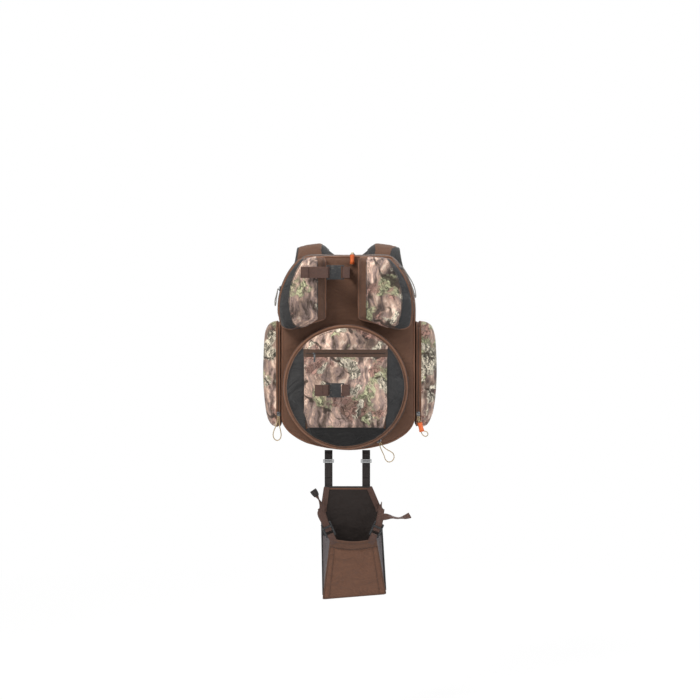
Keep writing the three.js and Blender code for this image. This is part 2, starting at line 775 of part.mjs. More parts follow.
// Sternum strap between the shoulder straps, on the side away from the wearer's back
const sternumFaceY = Math.max(...strapLine.map((p) => p.x)) + strapThickness / 2 + seam;
const sternumClipX = strapMiddle.reduce((a, b) => (Math.abs(b.y - sternumZ) < Math.abs(a.y - sternumZ) ? b : a)).x;
const sternumY = sternumFaceY + sternumClipThickness + buckleThickness / 2;
const sternum = group(pack, sternumBuckleX, sternumY, sternumZ);
const clipY = sternumFaceY - sternumY;
function sternumSide(side, buckleEnd) {
  const clipX = bagCentreX + side * sternumClipX - sternumBuckleX;
  const inner = clipX - (side * sternumClipWidth) / 2;
  const clip = box(
    clipX - sternumClipWidth / 2,
    clipX + sternumClipWidth / 2,
    clipY,
    clipY + sternumClipThickness,
    -sternumClipHeight / 2,
    sternumClipHeight / 2,
  );
  const height = clipY + sternumClipThickness / 2;
  const flat = point(inner + side * webThickness, height);
  const line = [flat, point(inner - side * sternumClipThickness, height), ...buckleEnd];
  const web = prism(ribbon(line, webThickness), -sternumWeb / 2, sternumWeb / 2, topPlane);
  return join(clip, web);
}
const plugEnd = prongMouth + plugLength + seam;
add(sternum, "sternum_web_left", sternumSide(-1, [...socketHook].reverse()), brownWebbing);
add(sternum, "sternum_socket", buckleSocket(sternumWeb), blackPlastic);
add(sternum, "sternum_plug", bucklePlug(sternumWeb), blackPlastic);
const plugSide = [point(plugEnd + socketLength, 0), point(plugEnd, 0)];
add(sternum, "sternum_web_right", sternumSide(1, plugSide), brownWebbing);

// Boot: two hangers, rear panel, front panel with a sagging mouth, and one gusset strip round three sides
const rearFace = (z) => {
  const share = (bootTopZ - z) / (bootTopZ - bootBaseLeftZ);
  return bootRearTopY + (bootRearBaseY - bootRearTopY) * share;
};
const behindRear = (z) => point(rearFace(z) + bootPanel / 2 + 2 * seam + webThickness / 2, z);
const sewn = [behindRear(bootTopZ - webThickness), behindRear(bootTopZ - hangerSewn)];
const hangerLine = [point(hingeY, hangerTopZ), point(hingeY, bootTopZ + hangerWeb), ...sewn];
const hangerBody = (x) => {
  const half = slideWidth / 2;
  const t = slideThickness / 2;
  const web = prism(ribbon(hangerLine, webThickness), x - hangerWeb / 2, x + hangerWeb / 2, sidePlane);
  const high = slideZ + slideHeight / 2;
  return join(web, box(x - half, x + half, hingeY - t, hingeY + t, slideZ - slideHeight / 2, high));
};
const crossWeb = prism(ribbon(sewn, webThickness), hangerLeftX, hangerRightX, sidePlane);
add(pack, "boot_hanger", join(hangerBody(hangerLeftX), hangerBody(hangerRightX), crossWeb), brownWebbing);

const rearLine = [point(rearFace(bootTopZ), bootTopZ), point(rearFace(bootBaseLeftZ), bootBaseLeftZ)];
const bootSpan = [2 * bootRear.hipLeft, 2 * bootRear.baseRight];
const rearOutline = [
  point(bootRear.baseLeft, bootBaseLeftZ),
  point(bootRear.baseRight, bootBaseRightZ),
  point(bootRear.hipRight, bootRear.hipZ),
  point(bootRear.topRight, bootTopZ),
  point(bootRear.topLeft, bootTopZ),
  point(bootRear.hipLeft, bootRear.hipZ),
];
const bootDepth = [bootFrontTopY * 2, 0];
const rearSheet = prism(ribbon(rearLine, bootPanel), ...bootSpan, sidePlane);
add(pack, "boot_rear_panel", common(rearSheet, prism(rearOutline, ...bootDepth)), brownCloth);

const mouth = new THREE.QuadraticBezierCurve(
  point(bootFront.topRight, bootMouthZ),
  point((bootFront.topLeft + bootFront.topRight) / 2, bootMouthZ - 2 * bootMouthSag),
  point(bootFront.topLeft, bootMouthZ),
).getPoints(8);
const frontOutline = [
  point(bootFront.baseLeft, bootBaseLeftZ),
  point(bootFront.baseRight, bootBaseRightZ),
  ...mouth,
];
const frontLine = [point(bootFrontTopY, bootMouthZ), point(bootFrontBaseY, bootBaseLeftZ)];
const frontSheet = prism(ribbon(frontLine, bootPanel), ...bootSpan, sidePlane);

// Ladder locks stand over the mouth, each held by a tab that loops round its lower bar
const lockX = { left: bootFront.topLeft, right: bootFront.topRight - lockBar };
const lockZ = bootMouthZ + lockRise;
const atLock = (name, geometry) => geometry.rotateY(sides[name] * lockTilt).translate(lockX[name], bootFrontTopY, lockZ);
const lockWrap = Math.hypot(lockBar, lockThickness) / 2 + seam + tailThickness / 2;
function lock(name) {
  const outline = roundedOutline(-lockWidth / 2, lockWidth / 2, -lockBar / 2, lockHeight - lockBar / 2, lockBar / 2, 2);
  const frame = prism(outline, -lockThickness / 2, lockThickness / 2);
  const slotHalf = lockWidth / 2 - lockBar;
  const pitch = (lockHeight - lockBar) / 2;
  const slot = (bar) => box(-slotHalf, slotHalf, -lockThickness, lockThickness, bar + lockBar / 2, bar + pitch - lockBar / 2);
  return atLock(name, cut(frame, slot(0), slot(pitch)));
}
const wrapBand = (line) => prism(ribbon(line, tailThickness), -tailWidth / 2, tailWidth / 2, sidePlane);
const tab = (name) =>
  atLock(
    name,
    wrapBand([
      point(lockWrap / 4, -tabSewn),
      ...arc(0, 0, lockWrap, lockWrap, 0, Math.PI, 6),
      point(-lockWrap / 4, -tabSewn),
    ]),
  );
const frontPanel = common(frontSheet, prism(frontOutline, ...bootDepth));
add(pack, "boot_front_panel", join(frontPanel, tab("left"), tab("right")), brownCloth);

const frontFace = (z) => {
  const share = (bootMouthZ - z) / (bootMouthZ - bootBaseLeftZ);
  return bootFrontTopY + (bootFrontBaseY - bootFrontTopY) * share;
};
const touch = bootPanel / 2 + 2 * seam;
const gussetSide = [
  point(frontFace(bootMouthZ) + touch, bootMouthZ - seam),
  point(frontFace(bootBaseLeftZ) + touch, bootBaseLeftZ),
  point(rearFace(bootBaseLeftZ) - touch, bootBaseLeftZ),
  point(rearFace(bootMouthZ) - touch, bootMouthZ - seam),
];
const gussetLine = [
  point((bootFront.topLeft + bootRear.hipLeft) / 2, bootMouthZ + overrun),
  point(bootFront.baseLeft + gussetInset + bootPanel / 2, bootBaseLeftZ + gussetInset + bootPanel / 2),
  point(bootFront.baseRight - gussetInset - bootPanel / 2, bootBaseRightZ + gussetInset + bootPanel / 2),
  point((bootFront.topRight + bootRear.hipRight) / 2, bootMouthZ + overrun),
];
const gussetWrap = prism(ribbon(gussetLine, bootPanel), ...bootDepth);
add(pack, "boot_gusset", common(gussetWrap, prism(gussetSide, ...bootSpan, sidePlane)), brownCloth);

for (const name of Object.keys(sides)) add(pack, "boot_" + name + "_lock", lock(name), blackPlastic);

// A webbing along a hand-laid route, its width turned from each of the given directions to the next
function band(points, wides) {
  const curve = new THREE.CatmullRomCurve3(points);
  const rings = [];
  for (let i = 0; i <= bandSteps; i++) {
    const share = i / bandSteps;
    const at = curve.getPoint(share);
    const along = curve.getTangent(share);
    const turn = share ** 2 * (wides.length - 1);
    const from = Math.min(Math.floor(turn), wides.length - 2);
    const wide = wides[from].clone().lerp(wides[from + 1], turn - from);
    wide.addScaledVector(along, -along.dot(wide)).setLength(tailWidth / 2);
    const thick = along.clone().cross(wide).setLength(tailThickness / 2);
    rings.push([
      at.clone().add(wide).add(thick),
      at.clone().sub(wide).add(thick),
      at.clone().sub(wide).sub(thick),
      at.clone().add(wide).sub(thick),
    ]);
  }
  return loft(rings);
}

// Each tail's webbing: sewn beside the rear panel, turned round the lock's middle bar, and free beyond it
const legTop = lockHeight;
const turnLine = [
  point(lockWrap, legTop),
  ...arc(0, (lockHeight - lockBar) / 2, lockWrap, lockWrap, 0, -Math.PI, 6),
  point(-lockWrap, legTop),
];
function lockWebbing(name, free) {
  const side = sides[name];
  const across = new THREE.Vector3(Math.cos(lockTilt), 0, -side * Math.sin(lockTilt));
  const legEnd = (y) => {
    const reach = legTop - lockBar;
    return new THREE.Vector3(
      lockX[name] + side * Math.sin(lockTilt) * reach,
      bootFrontTopY + y,
      lockZ + Math.cos(lockTilt) * reach,
    );
  };
  const hipX = side > 0 ? bootRear.hipRight : bootRear.hipLeft;
  const edgeX = hipX + side * (3 * seam + tailThickness / 2);
  const held = [
    new THREE.Vector3(edgeX, rearFace(bootRear.hipZ) + tailSewnDepth, bootRear.hipZ + tailSewnRise),
    new THREE.Vector3(edgeX, rearFace(bootRear.hipZ) - tailWidth, bootRear.hipZ + tailTurnRise),
    legEnd(lockWrap),
  ];
  const out = [legEnd(-lockWrap), ...free.map((p) => new THREE.Vector3(...p))];
  const turned = (y, z) => new THREE.Vector3(0, -side * y, -side * z);
  const end = side > 0 ? turned(1, 1) : across;
  return join(
    atLock(name, wrapBand(turnLine)),
    band(held, [turned(1, 1), across]),
    band(out, [across, turned(1, 0), end]),
  );
}
const freeTails = {
  left: [
    [-64, -166, -146],
    [-67, -168, -136],
    [-63, -167, -124],
    [-71, -165, -106],
    [-84, -163, -86],
  ],
  right: [
    [69, -166, -149],
    [77, -168, -146],
    [92, -168, -146],
    [108, -167, -149],
    [124, -165, -147],
    [136, -163, -143],
  ],
};
for (const [name, free] of Object.entries(freeTails))
  add(pack, "boot_" + name + "_tail", lockWebbing(name, free), brownWebbing);

// Zip slider, its coil side at y zero and its bridge towards -y, long way along x
function slider(tab) {
  const half = sliderLength / 2;
  const side = sliderWidth / 2;
  const outline = [
    point(-half, -side * 0.6),
    point(-half / 3, -side),
    point(half, -side),
    point(half, side),
    point(-half / 3, side),
    point(-half, side * 0.6),
  ];
  const bridgeOutline = roundedOutline(-half * 0.7, half * 0.7, -side / 3, side / 3, side / 4, 2);
  const eye = box(-half / 3, half / 3, (-sliderHeight * 3) / 4, -sliderHeight / 2, -side, side);
  const body = join(prism(outline, 0, -sliderHeight / 2), cut(prism(bridgeOutline, 0, -sliderHeight), eye));
  if (!tab) return body;
  const tabOutline = roundedOutline(-side / 2, side / 2, -tab, side / 3, side / 3, 2);
  return join(body, prism(tabOutline, -sliderHeight + seam, -sliderHeight - sliderTabThickness));
}

// A cord pull: one loop of cord, from the slider's bridge and back, through a moulded sleeve where one is given
function pull(points, sleeve) {
  const loop = cordTube(points.map((p) => new THREE.Vector3(...p)));
  if (!sleeve) return loop;
  const [start, end] = sleeve.map((p) => new THREE.Vector3(...p));
  return join(loop, cordTube([start, start.clone().lerp(end, 1 / 2), end], sleeveDiameter, 2));
}

// A slider at a place on its coil, turned with its bridge away from the fabric
function addSlider(name, x, y, z, turn = new THREE.Euler(), tab = 0) {
  const runner = add(pack, name + "_slider", slider(tab), zipMetal);
  runner.position.set(x, y, z);
  runner.rotation.copy(turn);
}

// Sliders on the arcs run with their bridge pointing away from the arc's centre
function arcSlider(name, centreX, y, centreZ, radius, angle) {
  const x = Math.cos(angle);
  const z = Math.sin(angle);
  const turn = new THREE.Euler(-Math.PI / 2, Math.atan2(x, z), 0, "YXZ");
  addSlider(name, centreX + radius * x, y, centreZ + radius * z, turn);
}

addSlider("main_zip", mainSliderX, mainSliderY, bagHeight + seam, new THREE.Euler(-Math.PI / 2, 0, 0));
for (const [name, pocket] of Object.entries(upperPockets)) {
  const angle = pocket.side > 0 ? pocket.sliderAngle : Math.PI - pocket.sliderAngle;
  const centre = pocket.side * (pocket.outer - upperArcRadius);
  arcSlider(name + "_upper_zip", centre, frontY - upperZipRise, upperArcZ, upperArcRadius + seam, angle);
}
for (const [name, side] of Object.entries(sides)) {
  const x = bagCentreX + side * (bagHalfWidth + seam + (sideGussetShare * sideDepth[name]) / 2);
  addSlider(name + "_side_zip", x, sideFrontY - seam, sideSliderZ, new THREE.Euler(0, -Math.PI / 2, 0));
}
const lowerRun = [lowerCentreX, frontY - lowerZipRise, lowerCentreZ, lowerRadius + seam];
arcSlider("lower_zip", ...lowerRun, lowerSliderAngle);
const faceY = frontY - lowerDepth - seam;
addSlider("front_zip", frontSliderX, faceY, (zipTapeTop + zipTapeBase) / 2, new THREE.Euler(), sliderTab);

// Cord pulls, each along a route chosen by hand
const pulls = {
  main_zip: [
    [4.5, -108.8, 450],
    [4.2, -121, 451.8],
    [3.6, -133, 448],
    [3.2, -136, 438],
    [3.6, -136.6, 430],
    [5, -136.8, 423.5],
    [6.4, -136.6, 430],
    [6.8, -136, 438],
    [6.6, -133, 448],
    [7, -121, 451.8],
    [7.5, -108.8, 450],
  ],
  left_upper_zip: [
    [-163, -147, 370],
    [-167.5, -144.5, 352.3],
    [-169.8, -143.5, 344],
    [-170.1, -144, 335.4],
    [-169.3, -148, 331.1],
    [-167.6, -152, 335.2],
    [-166.8, -153, 343.6],
    [-165.6, -152, 351.9],
    [-163, -149.6, 370],
  ],
  right_upper_zip: [
    [118.7, -147, 419.6],
    [130.9, -145, 400.5],
    [140, -144, 385.8],
    [146.6, -143.5, 369.8],
    [149, -145, 355.5],
    [148.5, -148, 349.6],
    [146.2, -151.5, 355],
    [142.3, -153, 368.6],
    [136.2, -152.5, 384.3],
    [129, -151.5, 399.5],
    [118.7, -149.6, 419.6],
  ],
  left_side_zip: [
    [-164.4, -127.7, 79],
    [-165.4, -131, 68],
    [-168.6, -133, 57],
    [-173, -133, 47],
    [-175.2, -133, 37],
    [-172.6, -133, 28],
    [-165.8, -133, 24.2],
    [-159.2, -133, 28],
    [-156.8, -133, 36.5],
    [-158, -133, 46],
    [-160.4, -133, 57],
    [-161.6, -131, 68],
    [-161.6, -127.7, 79],
  ],
  right_side_zip: [
    [154.6, -127.7, 79],
    [155, -129.4, 71],
    [157.4, -131, 63],
    [159.8, -131.4, 53],
    [162.4, -131.6, 43],
    [166.4, -131.6, 36],
    [173, -131.6, 33.4],
    [177.6, -131.6, 38],
    [174.6, -131.6, 44],
    [168.4, -131.6, 45.6],
    [163.6, -131.4, 53],
    [161, -131, 63],
    [158.6, -129.4, 71],
    [157.4, -127.7, 79],
  ],
  lower_zip: [
    [66.8, -144.3, 19.2],
    [69, -147.5, 9.5],
    [73, -150, 0.6],
    [77, -150.6, -8],
    [80, -150.6, -17],
    [86, -150.6, -23],
    [94, -150.6, -22],
    [99.6, -150.6, -15],
    [99, -150.6, -6],
    [93, -150.6, 0],
    [84.6, -150.2, 4.4],
    [76.4, -148.2, 10.6],
    [69.3, -144.3, 20.8],
  ],
};
const sleeves = {
  main_zip: [
    [5, -136.6, 447],
    [5, -136.7, 425],
  ],
  right_side_zip: [
    [158.7, -130.9, 65],
    [163.9, -131.5, 44],
  ],
};
for (const [name, points] of Object.entries(pulls))
  add(pack, name + "_pull", pull(points, sleeves[name]), pullCord);

// The haul loop's middle, where a hook holds the pack, becomes the origin
pack.children.forEach((child) => child.position.sub(new THREE.Vector3(bagCentreX, haulReach, haulZ)));

export default pack;
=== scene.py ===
"""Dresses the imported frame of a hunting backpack: sewn pockets, printed cloth, webbing, buckles, zips and cords."""

import json
import math

import bmesh
import bpy
import numpy as np
from bpy.props import FloatProperty, FloatVectorProperty, IntProperty, PointerProperty
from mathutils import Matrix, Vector, noise
from mathutils.bvhtree import BVHTree


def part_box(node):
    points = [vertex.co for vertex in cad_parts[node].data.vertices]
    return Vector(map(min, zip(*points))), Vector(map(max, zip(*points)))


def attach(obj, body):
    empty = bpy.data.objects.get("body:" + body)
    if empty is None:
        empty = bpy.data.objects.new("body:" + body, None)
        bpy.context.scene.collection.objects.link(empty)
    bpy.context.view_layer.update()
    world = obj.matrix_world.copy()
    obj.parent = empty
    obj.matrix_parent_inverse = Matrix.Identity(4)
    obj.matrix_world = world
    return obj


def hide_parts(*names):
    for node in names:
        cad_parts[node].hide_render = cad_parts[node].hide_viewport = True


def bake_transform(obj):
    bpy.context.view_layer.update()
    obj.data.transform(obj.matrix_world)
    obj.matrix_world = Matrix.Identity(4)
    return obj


bl_info = {
    "name": "Hunting Backpack",
    "version": (1, 0, 0),
    "blender": (4, 5, 0),
    "location": "View3D > Sidebar > Backpack",
    "description": "Sews a hunting backpack around its packed frame",
    "category": "Object",
}

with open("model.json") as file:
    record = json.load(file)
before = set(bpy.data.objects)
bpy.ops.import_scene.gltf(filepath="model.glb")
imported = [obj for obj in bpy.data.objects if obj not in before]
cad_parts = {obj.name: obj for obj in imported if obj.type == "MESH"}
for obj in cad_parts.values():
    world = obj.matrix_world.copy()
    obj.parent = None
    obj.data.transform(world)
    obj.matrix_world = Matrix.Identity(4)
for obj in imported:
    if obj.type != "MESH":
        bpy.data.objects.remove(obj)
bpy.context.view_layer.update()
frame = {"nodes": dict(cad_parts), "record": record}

MM = 0.001
ORIGIN = Vector((-4, 38, 428))  # the haul loop's middle, in the pack's own millimetres
FRONT = Vector((0, -1, 0))
BACK = Vector((0, 1, 0))
UP = Vector((0, 0, 1))
RIGHT = Vector((1, 0, 0))
SIDES = {"left": -1, "right": 1}


def at(x, y, z):
    """A place given in the pack's own millimetres, in metres in the frame."""
    return (Vector((x, y, z)) - ORIGIN) * MM


# ---------------- settings


def srgb(text):
    """Linear colour of an sRGB hex value such as "#5a4636"."""
    channels = [int(text[i : i + 2], 16) / 255 for i in (1, 3, 5)]
    return [c / 12.92 if c <= 0.04045 else ((c + 0.055) / 1.055) ** 2.4 for c in channels]


def colour_setting(name, text, description):
    return FloatVectorProperty(
        name=name, description=description, default=srgb(text), subtype="COLOR", size=3, min=0, max=1
    )


class BACKPACK_PG_colours(bpy.types.PropertyGroup):
    """Colours of the cloth, webbing and trim"""

    brown: colour_setting("Brown cloth", "#654838", "Coated cloth of the bag and the gussets")
    webbing: colour_setting("Webbing", "#4d3329", "Woven straps")
    charcoal: colour_setting("Charcoal cloth", "#2b2b2c", "Side strips and base panel of the pockets")
    print_ground: colour_setting("Print ground", "#a58d80", "Ground colour of the printed cloth")
    print_bark: colour_setting("Print bark", "#3d332b", "Bark and shadows in the printed cloth")
    pull: colour_setting("Pull sleeve", "#d8642a", "Moulded sleeves on the zip cords")


class BACKPACK_PG_sizes(bpy.types.PropertyGroup):
    """Sizes of the sewing and of the filling"""

    voxel: FloatProperty(
        name="Cloth cell", description="Mesh size of the swelling cloth", default=0.005, min=0.002, unit="LENGTH"
    )
    pressure: FloatProperty(name="Filling", description="Pressure of the filling", default=4.0, min=0, max=20)
    frames: IntProperty(name="Settling", description="Frames over which the cloth settles", default=20, min=2)
    stitch: FloatProperty(
        name="Stitch", description="Length of one stitch, coarse enough to show", default=0.0045, unit="LENGTH"
    )
    piping: FloatProperty(
        name="Piping", description="Diameter of the piping in the seams", default=0.0042, unit="LENGTH"
    )


def colours():
    return bpy.context.scene.backpack_colours


def sizes():
    return bpy.context.scene.backpack_sizes


# ---------------- materials

FINISHES = {}
PACK_THREADS = 0.0011  # from one thread of the pack cloth to the next
BLENDED = {"data_type": "RGBA"}
MULTIPLIED = {"data_type": "RGBA", "blend_type": "MULTIPLY"}
SOFTENED = {"data_type": "RGBA", "blend_type": "SOFT_LIGHT"}


def feed(tree, node, inputs):
    """Gives a node's inputs their values, or links the sockets that feed them."""
    for key, value in inputs.items():
        socket = node.inputs[key]
        if isinstance(value, bpy.types.NodeSocket):
            tree.links.new(value, socket)
        else:
            socket.default_value = (*value[:3], 1) if socket.type == "RGBA" else value


def add_node(tree, kind, inputs=None, output=None, stops=(), **settings):
    """Adds one shader node and gives it, or one of its outputs. Stops are a ramp's: a place, and a colour or grey."""
    node = tree.nodes.new("ShaderNode" + kind)
    for key, value in settings.items():
        setattr(node, key, value)
    feed(tree, node, inputs or {})
    if stops:
        elements = node.color_ramp.elements
        while len(elements) < len(stops):
            elements.new(0.5)
        for element, (position, value) in zip(elements, stops):
            element.position = position
            element.color = (*((value,) * 3 if isinstance(value, (int, float)) else value), 1)
    return node if output is None else node.outputs[output]


def new_material(name):
    material = bpy.data.materials.new(name)
    material.use_nodes = True
    tree = material.node_tree
    tree.nodes.clear()
    shader = add_node(tree, "BsdfPrincipled")
    add_node(tree, "OutputMaterial", {"Surface": shader.outputs["BSDF"]})
    return material, tree, shader


def object_coordinates(tree, scale=(1, 1, 1), turn=(0, 0, 0)):
    source = add_node(tree, "TexCoord", output="Object")
    return add_node(tree, "Mapping", {"Vector": source, "Scale": scale, "Rotation": turn}, "Vector")


def weave_axes(tree):
    """The piece's own weave map, across and along the cloth, in metres."""
    parts = add_node(tree, "SeparateXYZ", {"Vector": add_node(tree, "UVMap", output="UV", uv_map="weave")})
    return parts.outputs["X"], parts.outputs["Y"]


def weave_height(tree, pitch):
    """Plain weave: warp and weft threads that pass over and under each other, at a real pitch."""
    waves, steep = [], []
    for axis in weave_axes(tree):
        turns = add_node(tree, "Math", {0: axis, 1: math.pi / pitch}, 0, operation="MULTIPLY")
        waves.append(add_node(tree, "Math", {0: turns}, 0, operation="SINE"))
        steep.append(add_node(tree, "Math", {0: waves[-1]}, 0, operation="ABSOLUTE"))
    over = add_node(tree, "Math", {0: waves[0], 1: waves[1]}, 0, operation="MULTIPLY")
    rounded = add_node(tree, "Math", {0: steep[0], 1: steep[1]}, 0, operation="ADD")
    return add_node(tree, "Math", {0: rounded, 1: 0.5, 2: over}, 0, operation="MULTIPLY_ADD")


def bump_into(tree, shader, height, distance, strength=1.0, under=None):
    """Raises the shader's surface by a height pattern, over an earlier bump if there is one."""
    inputs = {"Height": height, "Distance": distance, "Strength": strength}
    if under:
        inputs["Normal"] = under
    bumped = add_node(tree, "Bump", inputs, "Normal")
    feed(tree, shader, {"Normal": bumped})
    return bumped


def speckled(tree, colour, scale, detail, amount, stops):
    """The colour with fine speckles that follow a noise, and the noise."""
    fine = add_node(tree, "TexNoise", {"Vector": object_coordinates(tree), "Scale": scale, "Detail": detail}, "Fac")
    flecks = add_node(tree, "ValToRGB", {0: fine}, 0, stops)
    return add_node(tree, "Mix", {0: amount, 6: colour, 7: flecks}, 2, **MULTIPLIED), fine


def faded(tree, colour, scale, detail, amount, dust):
    """The colour lightened unevenly over broad patches, as worn cloth is."""
    broad = add_node(tree, "TexNoise", {"Vector": object_coordinates(tree), "Scale": scale, "Detail": detail}, "Fac")
    share = add_node(tree, "Math", {0: broad, 1: amount}, 0, operation="MULTIPLY")
    return add_node(tree, "Mix", {0: share, 6: colour, 7: srgb(dust)}, 2, **SOFTENED)


def woven_surface(tree, shader, colour, pitch, roughness, crease=1.0):
    """Finishes a cloth shader: threads with painted shade between them and painted highlights on their crowns, soft
    creases, uneven dye and a dusting on the surface.
    """
    threads = weave_height(tree, pitch)
    # painted shade and highlight: the weave's hollows darker and its crowns lighter, as light would fall on the threads
    shadows = add_node(tree, "ValToRGB", {0: threads}, 0, [(0.1, 0.5), (0.9, 1.35)])
    dyed = faded(tree, colour, 9.0, 4.0, 0.22, "#b3a08c")
    lit = add_node(tree, "Mix", {0: 0.35, 6: dyed, 7: shadows}, 2, **MULTIPLIED)
    dusted, fine = speckled(tree, lit, 160.0, 3.0, 0.3, [(0.35, 0.7), (0.65, 1.2)])
    rough = add_node(tree, "ValToRGB", {0: fine}, 0, [(0.3, roughness - 0.08), (0.7, roughness + 0.06)])
    folds = {"Vector": object_coordinates(tree, (1, 1, 1.7)), "Scale": 15.0, "Detail": 3.0, "Distortion": 0.9}
    soft = bump_into(tree, shader, add_node(tree, "TexNoise", folds, "Fac"), 0.016, 0.45 * crease)
    bump_into(tree, shader, threads, 0.0005, 0.6, soft)
    feed(tree, shader, {"Base Color": dusted, "Roughness": rough})
    feed(tree, shader, {"Sheen Weight": 0.06, "Sheen Roughness": 0.5, "IOR": 1.38})


def pack_cloth(name, colour, pitch=PACK_THREADS, roughness=0.78, crease=1.0):
    """Coated polyester in a coarse plain weave: dull, with threads that catch the light one by one."""
    material, tree, shader = new_material(name)
    woven_surface(tree, shader, colour, pitch, roughness, crease)
    return material


def printed_cloth(name):
    """Brushed polyester with a printed pattern of bark, litter and leaf blotches in dry woodland colours."""
    material, tree, shader = new_material(name)
    place = object_coordinates(tree)

    def cloud(scale, detail, vector=place, rough=0.5, output="Fac"):
        inputs = {"Vector": vector, "Scale": scale, "Detail": detail, "Roughness": rough}
        return add_node(tree, "TexNoise", inputs, output)

    def pushed(vector, scale, amount):
        """The vector pushed about by a cloud, by up to half the amount to either side."""
        inputs = {0: cloud(scale, 3.0, output="Color"), 1: (0.5, 0.5, 0.5)}
        centred = add_node(tree, "VectorMath", inputs, 0, operation="SUBTRACT")
        push = add_node(tree, "VectorMath", {0: centred, "Scale": amount}, 0, operation="SCALE")
        return add_node(tree, "VectorMath", {0: vector, 1: push}, 0, operation="ADD")

    def stretched(vector, along):
        return add_node(tree, "Mapping", {"Vector": vector, "Scale": (1, 1, along)}, 0)

    def masked(source, low, high, amount=1.0):
        return add_node(tree, "ValToRGB", {0: source}, 0, [(low, 0), (high, amount)])

    def patches(scale, shift, low, high):
        """Ragged patches, each kind of them in places of its own."""
        spot = add_node(tree, "Mapping", {"Vector": ragged, "Location": (shift, shift, -shift)}, 0)
        return masked(cloud(scale, 2.0, spot), low, high)

    def blades(tint, angle, scale, low, high):
        """Narrow blades on a slant, each with its own lightness of the tint and a dark gap to the next."""
        slanted = add_node(tree, "VectorRotate", {"Vector": ragged, "Angle": angle}, 0, rotation_type="Y_AXIS")
        cells = {"Vector": stretched(slanted, 0.22), "Scale": scale}
        pick = add_node(tree, "SeparateColor", {0: add_node(tree, "TexVoronoi", cells, "Color")}, "Red")
        tone = add_node(tree, "ValToRGB", {0: pick}, 0, [(0, low), (0.45, (low + high) / 2), (1, high)])
        edges = add_node(tree, "TexVoronoi", cells, "Distance", feature="DISTANCE_TO_EDGE")
        gaps = add_node(tree, "ValToRGB", {0: edges}, 0, [(0.03, 0.2), (0.1, 1)])
        light = add_node(tree, "Mix", {0: 1.0, 6: tone, 7: gaps}, 2, **MULTIPLIED)
        return add_node(tree, "Mix", {0: 1.0, 6: srgb(tint), 7: light}, 2, **MULTIPLIED)

    def over(ground, cover, top):
        return add_node(tree, "Mix", {0: cover, 6: ground, 7: top}, 2, **BLENDED)

    swayed = pushed(place, 16.0, 0.05)
    ragged = pushed(swayed, 140.0, 0.012)
    # bark: upright streaks about 5 mm wide and 40 mm long over broad light and shade
    tones = [
        (0.32, colours().print_bark),
        (0.41, srgb("#6d5d56")),
        (0.47, srgb("#94807a")),
        (0.52, colours().print_ground),
        (0.58, srgb("#caac9b")),
        (0.68, srgb("#ead9c8")),
    ]
    bark = add_node(tree, "ValToRGB", {0: cloud(78.0, 6.0, stretched(swayed, 0.2), 0.62)}, 0, tones)
    broad = cloud(20.0, 4.0, stretched(swayed, 0.6))
    shade = add_node(tree, "ValToRGB", {0: broad}, 0, [(0.34, 0.3), (0.47, 0.9), (0.62, 1.38)])
    layered = add_node(tree, "Mix", {0: 1.0, 6: bark, 7: shade}, 2, **MULTIPLIED)
    # leaf blotches about 50 mm across, lime-grey and rust-pink, made of blades that lie on a slant
    for tint, angle, shift in (("#b4b692", 0.7, 0.31), ("#ad877b", -0.6, 0.83)):
        parts = {0: patches(15.0, shift, 0.56, 0.59), 1: masked(cloud(70.0, 4.0), 0.34, 0.5, 0.92)}
        cover = add_node(tree, "Math", parts, 0, operation="MULTIPLY")
        layered = over(layered, cover, blades(tint, angle, 170.0, 0.45, 1.35))
    # litter: pale chips and black gaps where dry grass lies thick
    layered = over(layered, patches(19.0, 1.7, 0.57, 0.6), blades("#e9dfca", 0.25, 260.0, 0.1, 1.2))
    # twigs: dark winding lines about 3 mm wide, broken where leaves lie over them
    bent = object_coordinates(tree, turn=(0.5, 0.9, 0.2))
    lines = {"Vector": bent, "Scale": 4.0, "Distortion": 11.0, "Detail": 4.0, "Detail Scale": 1.6}
    twig = add_node(tree, "TexWave", lines, "Fac")
    line = add_node(tree, "ValToRGB", {0: twig}, 0, [(0, 0.9), (0.02, 0.75), (0.036, 0)])
    broken = add_node(tree, "Math", {0: line, 1: masked(cloud(24.0, 2.0), 0.42, 0.52)}, 0, operation="MULTIPLY")
    woven_surface(tree, shader, over(layered, broken, srgb("#332a24")), PACK_THREADS, 0.84, 0.7)
    return material


def ribbed_webbing(name, colour, pitch=0.0017):
    """Polypropylene webbing: flat yarns in a herringbone, duller than nylon, drawn a little coarse."""
    material, tree, shader = new_material(name)
    across, along = weave_axes(tree)
    slant = add_node(tree, "Math", {0: across, 1: 0.0042}, 0, operation="PINGPONG")
    rows = add_node(tree, "Math", {0: slant, 1: 0.9, 2: along}, 0, operation="MULTIPLY_ADD")
    turns = add_node(tree, "Math", {0: rows, 1: math.pi / pitch}, 0, operation="MULTIPLY")
    wave = add_node(tree, "Math", {0: turns}, 0, operation="SINE")
    yarn = add_node(tree, "Math", {0: wave}, 0, operation="ABSOLUTE")
    # painted shade and highlight: the grooves between the yarns darker and the yarns' crowns lighter
    stops = [(0.05, toned(colour, 0.35)), (0.6, colour), (1.0, toned(colour, 1.3))]
    tone = add_node(tree, "ValToRGB", {0: yarn}, 0, stops)
    worn = faded(tree, tone, 14.0, 3.0, 0.3, "#a08977")
    fuzzy, _ = speckled(tree, worn, 220.0, 2.0, 0.35, [(0.35, 0.65), (0.65, 1.25)])
    feed(tree, shader, {"Base Color": fuzzy, "Roughness": 0.66, "Sheen Weight": 0.04, "IOR": 1.49})
    bump_into(tree, shader, yarn, 0.0006, 0.8)
    return material


